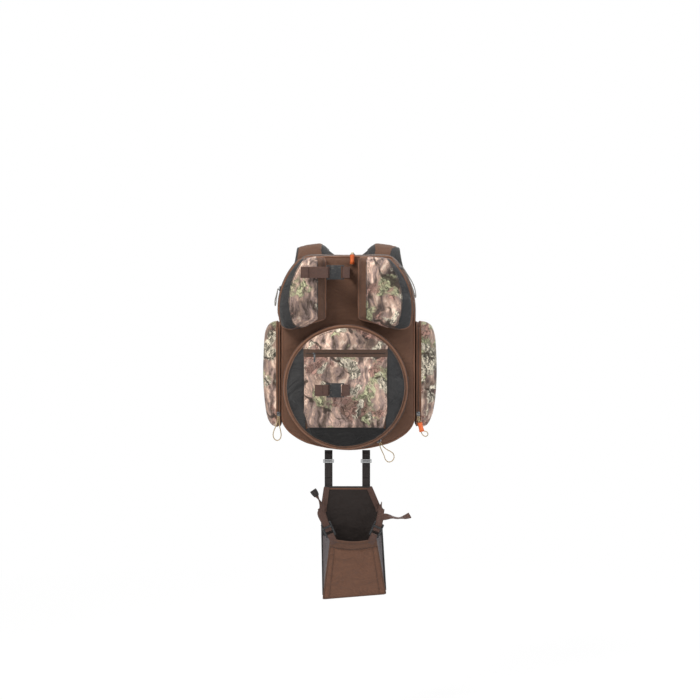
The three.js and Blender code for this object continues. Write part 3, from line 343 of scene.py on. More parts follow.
def spacer_mesh(name, colour):
    """Knitted spacer mesh over foam: open holes about 3 mm apart with soft black strands between them."""
    material, tree, shader = new_material(name)
    source = add_node(tree, "UVMap", output="UV", uv_map="weave")
    holes = add_node(tree, "TexVoronoi", {"Vector": source, "Scale": 330.0, "Randomness": 0.12}, "Distance")
    strand = add_node(tree, "ValToRGB", {0: holes}, 0, [(0.25, 0), (0.45, 1)])
    # painted shade: the holes darkened to a quarter of the strands' colour, for the shade inside them
    shade = add_node(tree, "Mix", {0: strand, 6: toned(colour, 0.25), 7: colour}, 2, **BLENDED)
    fuzzy, _ = speckled(tree, shade, 240.0, 2.0, 0.4, [(0.3, 0.6), (0.7, 1.4)])
    feed(tree, shader, {"Base Color": fuzzy, "Roughness": 0.85, "Sheen Weight": 0.1})
    bump_into(tree, shader, strand, 0.0012, 0.8)
    return material


def moulded_plastic(name, colour, roughness):
    """Injection-moulded acetal: black, faintly grained, scuffed where it rubs."""
    material, tree, shader = new_material(name)
    grain = add_node(tree, "TexNoise", {"Vector": object_coordinates(tree), "Scale": 900.0, "Detail": 2.0}, "Fac")
    rubs = {"Vector": object_coordinates(tree, (1, 1, 5)), "Scale": 130.0, "Detail": 5.0}
    scuffs = add_node(tree, "TexNoise", rubs, "Fac")
    worn = add_node(tree, "ValToRGB", {0: scuffs}, 0, [(0.56, 0), (0.7, 0.5)])
    tone = add_node(tree, "Mix", {0: worn, 6: colour, 7: srgb("#55534f")}, 2, **BLENDED)
    rough = add_node(tree, "ValToRGB", {0: scuffs}, 0, [(0.35, roughness), (0.7, roughness + 0.2)])
    feed(tree, shader, {"Base Color": tone, "Roughness": rough, "IOR": 1.48})
    bump_into(tree, shader, grain, 0.0001, 0.5)
    return material


def plated_metal(name, tones, roughness):
    """Die-cast or bent metal with a worn plating: duller and brighter patches scattered at random."""
    material, tree, shader = new_material(name)
    worn = add_node(tree, "TexNoise", {"Vector": object_coordinates(tree), "Scale": 260.0, "Detail": 4.0}, "Fac")
    stops = [(place, srgb(tone)) for place, tone in zip((0.35, 0.6, 0.75), tones)]
    tone = add_node(tree, "ValToRGB", {0: worn}, 0, stops)
    rough = add_node(tree, "ValToRGB", {0: worn}, 0, [(0.3, roughness), (0.7, roughness + 0.2)])
    feed(tree, shader, {"Base Color": tone, "Roughness": rough, "Metallic": 0.9})
    return material


def braided_cord(name, light, dark):
    """Braided polyester cord, 2.2 mm thick: two colours of strands that cross on the slant."""
    material, tree, shader = new_material(name)
    around, along = weave_axes(tree)
    turn = add_node(tree, "Math", {0: around, 1: 4 * math.pi}, 0, operation="MULTIPLY")
    rise = add_node(tree, "Math", {0: along, 1: 2 * math.pi / 0.0042}, 0, operation="MULTIPLY")
    slants = [add_node(tree, "Math", {0: turn, 1: rise}, 0, operation=kind) for kind in ("ADD", "SUBTRACT")]
    one, other = (add_node(tree, "Math", {0: slant}, 0, operation="SINE") for slant in slants)
    strands = add_node(tree, "Math", {0: one, 1: other}, 0, operation="MAXIMUM")
    # painted shade: the grooves where neither strand lies are darker than the dark strands
    stops = [(0.0, toned(dark, 0.5)), (0.45, dark), (0.75, light), (1.0, light)]
    tone = add_node(tree, "ValToRGB", {0: strands}, 0, stops)
    feed(tree, shader, {"Base Color": tone, "Roughness": 0.7, "Sheen Weight": 0.2})
    bump_into(tree, shader, strands, 0.0004, 0.7)
    return material


def plain_moulding(name, colour, roughness=0.5):
    """Soft moulded PVC: even colour with a fine satin grain."""
    material, tree, shader = new_material(name)
    tone, grain = speckled(tree, colour, 500.0, 2.0, 0.4, [(0.3, 0.75), (0.7, 1.15)])
    feed(tree, shader, {"Base Color": tone, "Roughness": roughness, "IOR": 1.52})
    bump_into(tree, shader, grain, 0.0001, 0.4)
    return material


def toned(colour, *factors):
    """The colour times one factor, or one for each channel."""
    return [c * k for c, k in zip(colour, factors * 3 if len(factors) == 1 else factors)]


class BACKPACK_OT_finishes(bpy.types.Operator):
    """Mix the cloth, webbing, plastic and metal finishes"""

    bl_idname = "backpack.finishes"
    bl_label = "Mix finishes"

    def execute(self, context):
        shade = colours()
        brown, web = list(shade.brown), list(shade.webbing)
        FINISHES.update(
            brown=pack_cloth("brown pack cloth", brown),
            gusset=pack_cloth("brown gusset cloth", toned(brown, 0.78)),
            charcoal=pack_cloth("charcoal pack cloth", list(shade.charcoal), roughness=0.66, crease=3.0),
            boot=pack_cloth("boot cloth", toned(brown, 1.02, 0.96, 0.94), 0.0012, 0.74, 2.2),
            # the same cloth as the boot, darker: painted shade of the rolled hem, also used on the front's seams and
            # binding
            hem=pack_cloth("boot hem cloth", toned(brown, 0.74, 0.72, 0.72), 0.0012, 0.74, 1.6),
            strap=pack_cloth("strap cloth", toned(brown, 0.82, 0.8, 0.75)),
            base=pack_cloth("dark base cloth", srgb("#100f0f"), roughness=0.75, crease=2.5),
            grey=pack_cloth("grey gusset cloth", srgb("#4c4446"), roughness=0.7, crease=1.4),
            # the lining cloth: partly a dark lining and partly painted shade inside the boot
            dark=pack_cloth("dark lining cloth", srgb("#241c19"), roughness=0.8),
            printed=printed_cloth("printed pack cloth"),
            webbing=ribbed_webbing("brown webbing", web),
            dark_webbing=ribbed_webbing("dark brown webbing", toned(web, 0.12)),
            binding=ribbed_webbing("black binding tape", srgb("#1c1a19"), 0.0012),
            tape=ribbed_webbing("zip tape", srgb("#4f382a"), 0.001),
            # the piping: the same brown cloth made lighter, as painted highlight on the raised cords; on the side zips'
            # tapes it is painted light that lifts the shade of the recessed gussets
            piping=pack_cloth("brown piping", toned(brown, 1.6), 0.0009, crease=0.0),
            mesh=spacer_mesh("black spacer mesh", srgb("#191818")),
            plastic=moulded_plastic("black acetal", srgb("#18191b"), 0.34),
            gloss=moulded_plastic("polished black acetal", srgb("#1d1e20"), 0.18),
            zinc=plated_metal("gunmetal zinc", ("#3f3f40", "#77787a", "#a9a9a8"), 0.28),
            steel=plated_metal("bright plated steel", ("#a4a5a6", "#b3b4b4", "#c2c2c0"), 0.22),
            cord=braided_cord("tan braided cord", srgb("#d2bb90"), srgb("#86704c")),
            grey_cord=braided_cord("grey braided cord", srgb("#a3a099"), srgb("#4a4743")),
            sleeve=plain_moulding("moulded sleeve", list(shade.pull)),
            coil=plain_moulding("zip coil", srgb("#1a1614"), 0.4),
            dark_thread=plain_moulding("dark thread", srgb("#241f1d"), 0.6),
        )
        return {"FINISHED"}


# ---------------- shapes

SHARP_SHADING = 0.7
SHARP_EDGE = 0.6
THREAD = 0.0009
TOUCHING = 1e-6  # points closer than this are one


def clamped(share):
    return min(max(share, 0), 1)


def run_lengths(line):
    """How long a line is up to each of its points."""
    lengths = [0.0]
    for a, b in zip(line, line[1:]):
        lengths.append(lengths[-1] + (b - a).length)
    return lengths


def heading(line, i):
    """The direction in which a line passes its point i."""
    return (line[min(i + 1, len(line) - 1)] - line[max(i - 1, 0)]).normalized()


def spline(points, count):
    """Count + 1 points on the uniform spline through the given vectors."""
    last = len(points) - 1
    made = []
    for i in range(count + 1):
        place = i / count * last
        k = min(int(place), last - 1)
        t = place - k
        a, b, c, d = (points[min(max(k + step, 0), last)] for step in (-1, 0, 1, 2))
        made.append(0.5 * (2 * b + (c - a) * t + (2 * a - 5 * b + 4 * c - d) * t * t + (3 * b - a - 3 * c + d) * t**3))
    return made


EVEN_STEP = 0.004


def evenly(points, step=EVEN_STEP):
    """The same line with points an even step apart."""
    lengths = run_lengths(points)
    count = max(int(round(lengths[-1] / step)), 2)
    made = []
    k = 0
    for i in range(count + 1):
        want = lengths[-1] * i / count
        while k < len(points) - 2 and lengths[k + 1] < want:
            k += 1
        span = lengths[k + 1] - lengths[k]
        made.append(points[k].lerp(points[k + 1], (want - lengths[k]) / span if span else 0))
    return made


def eased(points, passes=1):
    """The line with its corners eased, its ends kept."""
    for _ in range(passes):
        points = [
            p if i in (0, len(points) - 1) else (points[i - 1] + 2 * p + points[i + 1]) / 4
            for i, p in enumerate(points)
        ]
    return points


def arc(x, z, rx, rz, start, end, steps):
    """Places along an arc of an ellipse round (x, z)."""
    turns = [start + (end - start) * i / steps for i in range(steps + 1)]
    return [(x + rx * math.cos(turn), z + rz * math.sin(turn)) for turn in turns]


def mark_sharp(bm):
    """Keeps the shading hard across edges that turn by more than 40 degrees."""
    bm.normal_update()
    for edge in bm.edges:
        edge.smooth = len(edge.link_faces) < 2 or edge.calc_face_angle(0) < SHARP_SHADING


def round_edges(bm, radius, clamp=False):
    """Rounds the edges of a bmesh that turn by more than 34 degrees."""
    edges = [e for e in bm.edges if len(e.link_faces) == 2 and e.calc_face_angle(0) > SHARP_EDGE]
    bmesh.ops.bevel(
        bm, geom=edges, offset=radius, segments=2, profile=0.5, affect="EDGES", material=-1, clamp_overlap=clamp
    )


def weave_map(mesh):
    """Lays the weave flat on each face, in metres, along the two axes that the face lies in."""
    count = len(mesh.loops)
    co = np.empty(len(mesh.vertices) * 3)
    mesh.vertices.foreach_get("co", co)
    corner = np.empty(count, np.int32)
    mesh.loops.foreach_get("vertex_index", corner)
    place = co.reshape(-1, 3)[corner]
    normals = np.empty(len(mesh.polygons) * 3)
    mesh.polygons.foreach_get("normal", normals)
    sides = np.empty(len(mesh.polygons), np.int32)
    mesh.polygons.foreach_get("loop_total", sides)
    main = np.repeat(np.abs(normals.reshape(-1, 3)).argmax(1), sides)
    u = np.where(main == 0, place[:, 1], place[:, 0])
    v = np.where(main == 2, place[:, 1], place[:, 2])
    layer = mesh.uv_layers.get("weave") or mesh.uv_layers.new(name="weave")
    layer.data.foreach_set("uv", np.stack([u, v], 1).ravel())


def make_piece(name, bm, material, body="pack", replaces=(), mapped=False):
    finishes = [material] if isinstance(material, str) else material
    mesh = bpy.data.meshes.new(name)
    mark_sharp(bm)
    bm.to_mesh(mesh)
    bm.free()
    for polygon in mesh.polygons:
        polygon.use_smooth = True
    for finish in finishes:
        mesh.materials.append(FINISHES[finish])
    if not mapped:
        weave_map(mesh)
    piece = bpy.data.objects.new(name, mesh)
    bpy.context.scene.collection.objects.link(piece)
    if body:
        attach(piece, body)
    if replaces:
        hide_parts(*([replaces] if isinstance(replaces, str) else replaces))
    return piece


def evaluated_mesh(piece):
    graph = bpy.context.evaluated_depsgraph_get()
    return bpy.data.meshes.new_from_object(piece.evaluated_get(graph), depsgraph=graph)


def applied(piece):
    """Applies the piece's modifiers to its mesh."""
    mesh = evaluated_mesh(piece)
    old = piece.data
    piece.modifiers.clear()
    piece.data = mesh
    mesh.name = piece.name
    bpy.data.meshes.remove(old)
    return piece


def thickened(piece, thickness, offset=0):
    """Gives a cloth a thickness, to both its sides or to the one that the offset names."""
    wall = piece.modifiers.new("Thickness", "SOLIDIFY")
    wall.thickness = thickness
    wall.offset = offset
    return wall


def refined(piece):
    """Divides the mesh once more, then applies all modifiers."""
    finer = piece.modifiers.new("Finer", "SUBSURF")
    finer.levels = finer.render_levels = 1
    return applied(piece)


def surface_of(piece):
    mesh = piece.data
    return BVHTree.FromPolygons([v.co.copy() for v in mesh.vertices], [tuple(p.vertices) for p in mesh.polygons])


def stack(outline, stations, place):
    """A closed form: a face drawn along the outline, extruded station by station and drawn in at each."""
    us = [u for u, v in outline]
    vs = [v for u, v in outline]
    middle = ((min(us) + max(us)) / 2, (min(vs) + max(vs)) / 2)
    half = ((max(us) - min(us)) / 2, (max(vs) - min(vs)) / 2)

    def drawn_in(index, rise, inset):
        u = middle[0] + (us[index] - middle[0]) * (1 - inset / half[0])
        v = middle[1] + (vs[index] - middle[1]) * (1 - inset / half[1])
        return place(u, v, rise)

    bm = bmesh.new()
    ring = [bm.verts.new(drawn_in(i, *stations[0])) for i in range(len(outline))]
    cap = bm.faces.new(ring)
    number = {v: i for i, v in enumerate(ring)}
    for step, (rise, inset) in enumerate(stations[1:]):
        spots = {tuple(round(c, 7) for c in v.co): i for v, i in number.items()}
        made = bmesh.ops.extrude_face_region(bm, geom=[cap], use_keep_orig=step == 0)["geom"]
        cap = next(g for g in made if isinstance(g, bmesh.types.BMFace))
        number = {v: spots[tuple(round(c, 7) for c in v.co)] for v in cap.verts}
        for v, i in number.items():
            v.co = drawn_in(i, rise, inset)
    bmesh.ops.triangulate(bm, faces=[cap], ngon_method="BEAUTY")
    bmesh.ops.recalc_face_normals(bm, faces=bm.faces)
    return bm


def grid(rows):
    """A sheet through rows of places, its weave laid along the rows in metres."""
    bm = bmesh.new()
    wide, long = len(rows[0]), len(rows)
    bmesh.ops.create_grid(bm, x_segments=wide - 1, y_segments=long - 1, size=1)
    bm.verts.ensure_lookup_table()
    spots = [p for row in rows for p in row]
    across = run_lengths(rows[long // 2])
    along = run_lengths([row[wide // 2] for row in rows])
    layer = bm.loops.layers.uv.new("weave")
    for face in bm.faces:
        for loop in face.loops:
            index = loop.vert.index
            loop[layer].uv = (across[index % wide], along[index // wide])
    for v, p in zip(bm.verts, spots):
        v.co = p
    return bm


def strip(name, path, wide, width, material, body="pack", thickness=1.6, replaces=()):
    """A webbing: an even strip along a path, its edges rounded. wide is one direction or one for each point."""
    directions = wide if isinstance(wide, list) else [wide] * len(path)
    rows = []
    for i, (p, w) in enumerate(zip(path, directions)):
        tangent = heading(path, i)
        w = (w - tangent * w.dot(tangent)).normalized()
        rows.append([p + w * (width * MM * share) for share in (-0.5, -0.25, 0, 0.25, 0.5)])
    piece = make_piece(name, grid(rows), material, body, replaces=replaces, mapped=True)
    thickened(piece, thickness * MM)
    edges = piece.modifiers.new("Edges", "BEVEL")
    edges.width = thickness * MM * 0.3
    edges.segments = 2
    edges.limit_method = "ANGLE"
    edges.angle_limit = 1.0
    return applied(piece)


def tube(name, path, diameter, material, body="pack", closed=False, sides=8):
    """A round edge or piping along a path in metres."""
    curve = bpy.data.curves.new(name, "CURVE")
    curve.dimensions = "3D"
    curve.bevel_depth = diameter / 2
    curve.bevel_resolution = sides // 4 - 1
    curve.use_fill_caps = not closed
    line = curve.splines.new("POLY")
    line.points.add(len(path) - 1)
    for point, p in zip(line.points, path):
        point.co = (*p, 1)
    line.use_cyclic_u = closed
    holder = bpy.data.objects.new(name, curve)
    bpy.context.scene.collection.objects.link(holder)
    mesh = evaluated_mesh(holder)
    bpy.data.objects.remove(holder)
    bm = bmesh.new()
    bm.from_mesh(mesh)
    bpy.data.meshes.remove(mesh)
    return make_piece(name, bm, material, body)


def add_grain(bm, a, b, size):
    """Adds a small ball, pressed to a size, half way from a to b and in line with them."""
    turn = (b - a).to_track_quat("X", "Z").to_matrix().to_4x4()
    turn.translation = (a + b) / 2
    made = bmesh.ops.create_uvsphere(bm, u_segments=6, v_segments=4, radius=1)["verts"]
    bmesh.ops.scale(bm, vec=size, verts=made)
    bmesh.ops.transform(bm, matrix=turn, verts=made)


def stitches(name, lines, body="pack"):
    """Rows of thread, each stitch a small grain that lies in the cloth along its line."""
    bm = bmesh.new()
    length = sizes().stitch
    for line in lines:
        spots = evenly(line, length * 1.45)
        for a, b in zip(spots, spots[1:]):
            if (b - a).length >= length * 0.5:
                add_grain(bm, a, b, (length / 2, THREAD / 2, THREAD / 2))
    return make_piece(name, bm, "dark_thread", body)


def laid(points, direction, surface, lift):
    """Points moved along a direction until they lie on a surface, then lifted off it. Misses are dropped."""
    reach = 0.08
    spots = [surface.ray_cast(p - direction * reach, direction, 2 * reach)[0] for p in points]
    return [spot - direction * lift for spot in spots if spot is not None]


def hugging(points, surface, lift):
    """The same line moved onto the surface beneath it."""
    made = []
    for p in points:
        spot, normal, _, _ = surface.find_nearest(p)
        made.append(spot + normal * lift)
    return made


def inset_line(polygon, inset):
    """A convex outline drawn in evenly."""
    middle = (sum(u for u, v in polygon) / len(polygon), sum(v for u, v in polygon) / len(polygon))
    lines = []
    for (u0, v0), (u1, v1) in zip(polygon, polygon[1:] + polygon[:1]):
        length = math.hypot(u1 - u0, v1 - v0)
        if length < TOUCHING:
            continue
        nu, nv = (v1 - v0) / length, -(u1 - u0) / length
        if nu * (middle[0] - u0) + nv * (middle[1] - v0) > 0:
            nu, nv = -nu, -nv
        lines.append((nu, nv, nu * u0 + nv * v0 - inset))
    made = []
    for (a, b, c), (d, e, f) in zip(lines, lines[1:] + lines[:1]):
        det = a * e - b * d
        if abs(det) > 1e-9:
            made.append(((c * e - b * f) / det, (a * f - c * d) / det))
    return made


def hull(points):
    """The convex outline round some points of a plane, counter-clockwise."""

    def chain(ordered):
        made = []
        for p in ordered:
            while len(made) > 1:
                (ax, ay), (bx, by) = made[-2:]
                if (bx - ax) * (p[1] - ay) - (by - ay) * (p[0] - ax) > 0:
                    break
                made.pop()
            made.append(p)
        return made[:-1]

    ordered = sorted(set(points))
    return chain(ordered) + chain(ordered[::-1])


def front_planes(polygon):
    """Cutting planes along the sides of a front outline's convex hull, each facing away from it."""
    corners = [front_place(u, v, 0) for u, v in hull(polygon)]
    middle = sum(corners, Vector()) / len(corners)
    made = []
    for a, b in zip(corners, corners[1:] + corners[:1]):
        if (b - a).length < TOUCHING:
            continue
        normal = (b - a).cross(FRONT).normalized()
        if normal.dot(middle - a) > 0:
            normal.negate()
        made.append((a, normal))
    return made


def panel(name, source, planes, outward, material, replaces, lift, thickness=0.0012, facing=0.1):
    """A cloth panel cut from the surface that it lies on, with a little thickness of its own."""
    bm = bmesh.new()
    bm.from_mesh(source.data)
    bm.normal_update()
    turned = [f for f in bm.faces if f.normal.dot(outward) < facing]
    bmesh.ops.delete(bm, geom=turned, context="FACES")
    for place, normal in planes:
        geometry = bm.verts[:] + bm.edges[:] + bm.faces[:]
        bmesh.ops.bisect_plane(bm, geom=geometry, plane_co=place, plane_no=normal, clear_outer=True)
    bm.normal_update()
    for v in bm.verts:
        v.co += v.normal * lift
    piece = make_piece(name, bm, material, replaces=replaces)
    thickened(piece, thickness, 1)
    applied(piece)
    weave_map(piece.data)
    return piece


# ---------------- padded pieces

BAG_X = -4
BAG_HALF = 154
BAG_TOP = 446
SHOULDER = (324, 160)  # height of the centre and radius of the bag's upper corners
SHOULDER_TURN = math.asin((BAG_TOP - SHOULDER[0]) / SHOULDER[1])
FRONT_Y = -130.3
PAD_Y = 5.6
ROUND = (-10, 147)  # the round pocket's centre
ROUND_RADIUS = 144
TUCKED = 1.5  # a padded piece starts this much inside its solid, and the filling swells it back
SIDE_WALL = 154.3  # from the bag's middle to the back of a side pocket
SIDE_GUSSET = 0.25  # share of a side pocket's depth that the brown gusset takes
SIDE_OUTLINE = (-122, -18, 52, 295, 24)  # front, back, base, top and corner radius
SWELLING = []  # pieces that the filling still has to swell: piece, hold rule, caps, slack
PIECES = {}

POUCH = [(0, 0), (0.45, 0.02), (0.72, 0.12), (0.89, 0.34), (0.975, 0.66), (1, 1)]
PAD = [(0, 0), (0.5, 0.1), (0.85, 0.45), (1, 1)]
SEWN = {  # how the cloth of the padded pieces behaves
    "quality": 4,
    "mass": 0.3,
    "tension_stiffness": 14,
    "compression_stiffness": 14,
    "shear_stiffness": 6,
    "bending_stiffness": 0.35,
    "vertex_group_mass": "sewn",
    "pin_stiffness": 1,
    "use_pressure": True,
}


def stations(shares, depth, roll):
    """The rise and the inset of each step of a padded form, whose edge rolls in by the given width."""
    return [(rise * (depth - TUCKED), inset * roll + TUCKED) for rise, inset in shares]


def filled(name, bm, material, replaces, held, caps, voxel, slack):
    """Registers a padded piece: remeshed now, swollen later. held(co) says what the seams hold;
    caps(normal) gives how far a point may move for its normal."""
    piece = make_piece(name, bm, material, replaces=replaces)
    cells = piece.modifiers.new("Cells", "REMESH")
    cells.mode = "VOXEL"
    cells.voxel_size = sizes().voxel * voxel
    applied(piece)
    SWELLING.append((piece, held, caps, slack))
    PIECES[name] = piece


def swell():
    """Runs the cloth of all padded pieces together, limits how far each point moved and smooths the mesh."""
    scene = bpy.context.scene
    scene.gravity = (0, 0, -9.81)
    starts = {}
    for piece, held, _, slack in SWELLING:
        starts[piece.name] = [v.co.copy() for v in piece.data.vertices]
        group = piece.vertex_groups.new(name="sewn")
        group.add([v.index for v in piece.data.vertices if held(v.co)], 1.0, "REPLACE")
        cloth = piece.modifiers.new("Cloth", "CLOTH")
        settings = cloth.settings
        for key, value in SEWN.items():
            setattr(settings, key, value)
        settings.uniform_pressure_force = sizes().pressure
        settings.shrink_min = -slack
        settings.effector_weights.gravity = 0
        cloth.point_cache.frame_start = 1
        cloth.point_cache.frame_end = sizes().frames
    for number in range(1, sizes().frames + 1):
        scene.frame_set(number)
    for piece, _, caps, _ in SWELLING:
        normals = [v.normal.copy() for v in piece.data.vertices]
        applied(piece)
        for v, start, normal in zip(piece.data.vertices, starts[piece.name], normals):
            moved = v.co - start
            limit = caps(normal)
            if moved.length > limit:
                v.co = start + moved * (limit / moved.length)
        piece.vertex_groups.clear()
        bm = bmesh.new()
        bm.from_mesh(piece.data)
        bmesh.ops.smooth_vert(bm, verts=bm.verts, factor=0.5, use_axis_x=True, use_axis_y=True, use_axis_z=True)
        bm.to_mesh(piece.data)
        bm.free()
        refined(piece)
        for polygon in piece.data.polygons:
            polygon.use_smooth = True
        weave_map(piece.data)
    scene.frame_set(1)


def bag_outline():
    height, radius = SHOULDER
    return (
        arc(BAG_X, 75, BAG_HALF, 75, math.pi, 2 * math.pi, 24)
        + arc(BAG_X + BAG_HALF - radius, height, radius, radius, 0, SHOULDER_TURN, 10)
        + arc(BAG_X - BAG_HALF + radius, height, radius, radius, math.pi - SHOULDER_TURN, math.pi, 10)
    )


class BACKPACK_OT_bag(bpy.types.Operator):
    """Sew the main bag and its back panel"""

    bl_idname = "backpack.bag"
    bl_label = "Main bag"

    def execute(self, context):
        def place(u, v, rise):
            return at(u, -rise, v)

        form = stack(bag_outline(), [(0.3, 1.5), (4, 0.6), (122, 0.6), (127.3, 3), (130, 8)], place)
        back = at(0, -1.5, 0).y

        def caps(normal):
            return 0.0006 if normal.y < -0.6 else 0.0025

        filled("main_bag_shell", form, "brown", "main_bag", lambda co: co.y > back, caps, 1.3, 0.03)
        form = stack(bag_outline(), [(0.3, 1), (1.5, 0), (4, 0.2), (5, 2)], lambda u, v, rise: at(u, rise, v))
        make_piece("back_panel_cloth", form, "gusset", replaces="back_panel")
        return {"FINISHED"}


UPPER = {
    "left": {"side": -1, "inner": 52, "outer": 164},
    "right": {"side": 1, "inner": 16, "outer": 144},
}
# inset of the inner edge, centre and radius of the outer edge's arc, top, inner and outer lower corner
UPPER_POD = (0, 157, 324, 157, 444, 299, 275)
UPPER_STRIP = (49, 157, 324, 150, 440, 279, 279)
UPPER_PRINT = (21, 176, 341, 148, 440, 303, 283)


def upper_region(pocket, edge, arc_x, arc_z, radius, top, inner_base, outer_base):
    """An outline of an upper pocket in the front view: straight inside, an arc on the outside."""
    inner = pocket["inner"] + edge
    centre = pocket["outer"] - arc_x
    rise = math.asin((top - 4 - arc_z) / radius)
    dip = math.asin(min((outer_base + 8 - arc_z) / radius, 0))
    low = centre + radius * math.cos(dip)
    points = [(inner, inner_base), (low - 24, outer_base), (low - 8, outer_base + 2.7)]
    points += arc(centre, arc_z, radius, radius, dip, rise, 16)
    points += [(inner + 4, top), (inner, top - 8)]
    return [(pocket["side"] * u, v) for u, v in points]


def front_place(u, v, rise):
    return at(u, FRONT_Y - rise, v)


def pocket_caps(normal):
    """A front pocket's face may swell by 4.5 mm and its walls by 1.2 mm."""
    return 0.0012 + (0.0045 - 0.0012) * clamped((abs(normal.y) - 0.5) * 3)


def closer(outline):
    """The same closed outline with further points, at most 24 mm apart, on its long edges."""
    made = []
    for (u, v), (far_u, far_v) in zip(outline, outline[1:] + outline[:1]):
        count = max(int(math.hypot(far_u - u, far_v - v) / 12), 1)
        made += [(u + (far_u - u) * i / count, v + (far_v - v) * i / count) for i in range(count)]
    return made


def side_place(side):
    """A side pocket's face: fullest at half height, flatter towards the top and still more to the bottom."""
    wall = BAG_X + side * SIDE_WALL
    even = SIDE_GUSSET * side_depth(side)

    def place(u, v, rise):
        off = v - 175
        full = 1 - off * off * (1.5e-5 if off > 0 else 3.2e-5)
        return at(wall + side * (rise if rise < even else even + (rise - even) * full), u, v)

    return place


def side_depth(side):
    return 198 - side * (BAG_X + side * SIDE_WALL) - 2.3


def rounded(left, right, base, top, radius):
    """A rectangle with round corners."""
    quarter = math.pi / 2
    corners = ((right, top, -1, -1), (left, top, 1, -1), (left, base, 1, 1), (right, base, -1, 1))
    made = []
    for i, (u, v, du, dv) in enumerate(corners):
        made += arc(u + du * radius, v + dv * radius, radius, radius, i * quarter, (i + 1) * quarter, 6)
    return made


class BACKPACK_OT_pockets(bpy.types.Operator):
    """Sew the five front and side pockets"""

    bl_idname = "backpack.pockets"
    bl_label = "Pockets"

    def execute(self, context):
        seam = at(0, FRONT_Y - 2.5, 0).y

        def sewn(co):
            return co.y > seam

        for name, pocket in UPPER.items():
            form = stack(upper_region(pocket, *UPPER_POD), stations(POUCH, 62, 40), front_place)
            filled(name + "_upper_pod", form, "gusset", name + "_upper_pocket", sewn, pocket_caps, 1, 0.03)
        circle = arc(*ROUND, ROUND_RADIUS, ROUND_RADIUS, 0, 2 * math.pi, 64)[:-1]
        form = stack(circle, stations(POUCH, 50, 34), front_place)
        filled("lower_round_pocket", form, "gusset", "lower_pocket", sewn, pocket_caps, 1.1, 0.03)
        for name, side in SIDES.items():
            form = stack(closer(rounded(*SIDE_OUTLINE)), stations(POUCH, side_depth(side), 30), side_place(side))
            wall = side_place(side)(0, 0, 2.5).x

            def held(co, side=side, wall=wall):
                return (co.x - wall) * side < 0

            def caps(normal):
                return 0.004 if abs(normal.x) > 0.6 else 0.0012

            filled(name + "_side_pouch", form, "gusset", name + "_side_pocket", held, caps, 1, 0.03)
        return {"FINISHED"}


class BACKPACK_OT_pads(bpy.types.Operator):
    """Fill the back pads and the lumbar pad"""

    bl_idname = "backpack.pads"
    bl_label = "Back pads"

    def execute(self, context):
        base = at(0, PAD_Y + 1.5, 0).y

        def place(u, v, rise):
            return at(u, PAD_Y + rise, v)

        def held(co):
            return co.y < base

        def caps(normal):
            return 0.003 if normal.y > 0.4 else 0.0015

        for name, side in SIDES.items():
            near, far = sorted((BAG_X + side * 17, BAG_X + side * 109))
            form = stack(rounded(near, far, 150, 372, 22), stations(PAD, 14, 14), place)
            cad = "back_pad" if side < 0 else ()
            filled(name + "_back_cushion", form, "mesh", cad, held, caps, 0.9, 0.02)
        form = stack(rounded(BAG_X - 102, BAG_X + 102, 38, 136, 22), stations(PAD, 14, 14), place)
        filled("lumbar_cushion", form, "mesh", "lumbar_pad", held, caps, 0.9, 0.02)
        return {"FINISHED"}


class BACKPACK_OT_swell(bpy.types.Operator):
    """Swell the padded pieces with cloth simulation"""

    bl_idname = "backpack.swell"
    bl_label = "Swell padding"

    def execute(self, context):
        swell()
        return {"FINISHED"}


# ---------------- panels and piping

SEAM = 4.5  # from a panel's edge to its row of stitches
# the lower pocket's panels in the front view: left and right edge, and where the lower corners are cut
LOWER_EDGES = (-104, 84)
CUT_Z = 57
CUT_SLOPE = (32, 34)

def on_front(polygon, surface, lift=0.0, closed=True):
    """An outline of the front view, laid on a surface as a line of even steps."""
    points = [front_place(u, v, 0) for u, v in polygon]
    return laid(evenly(points + ([points[0]] if closed else [])), BACK, surface, lift)


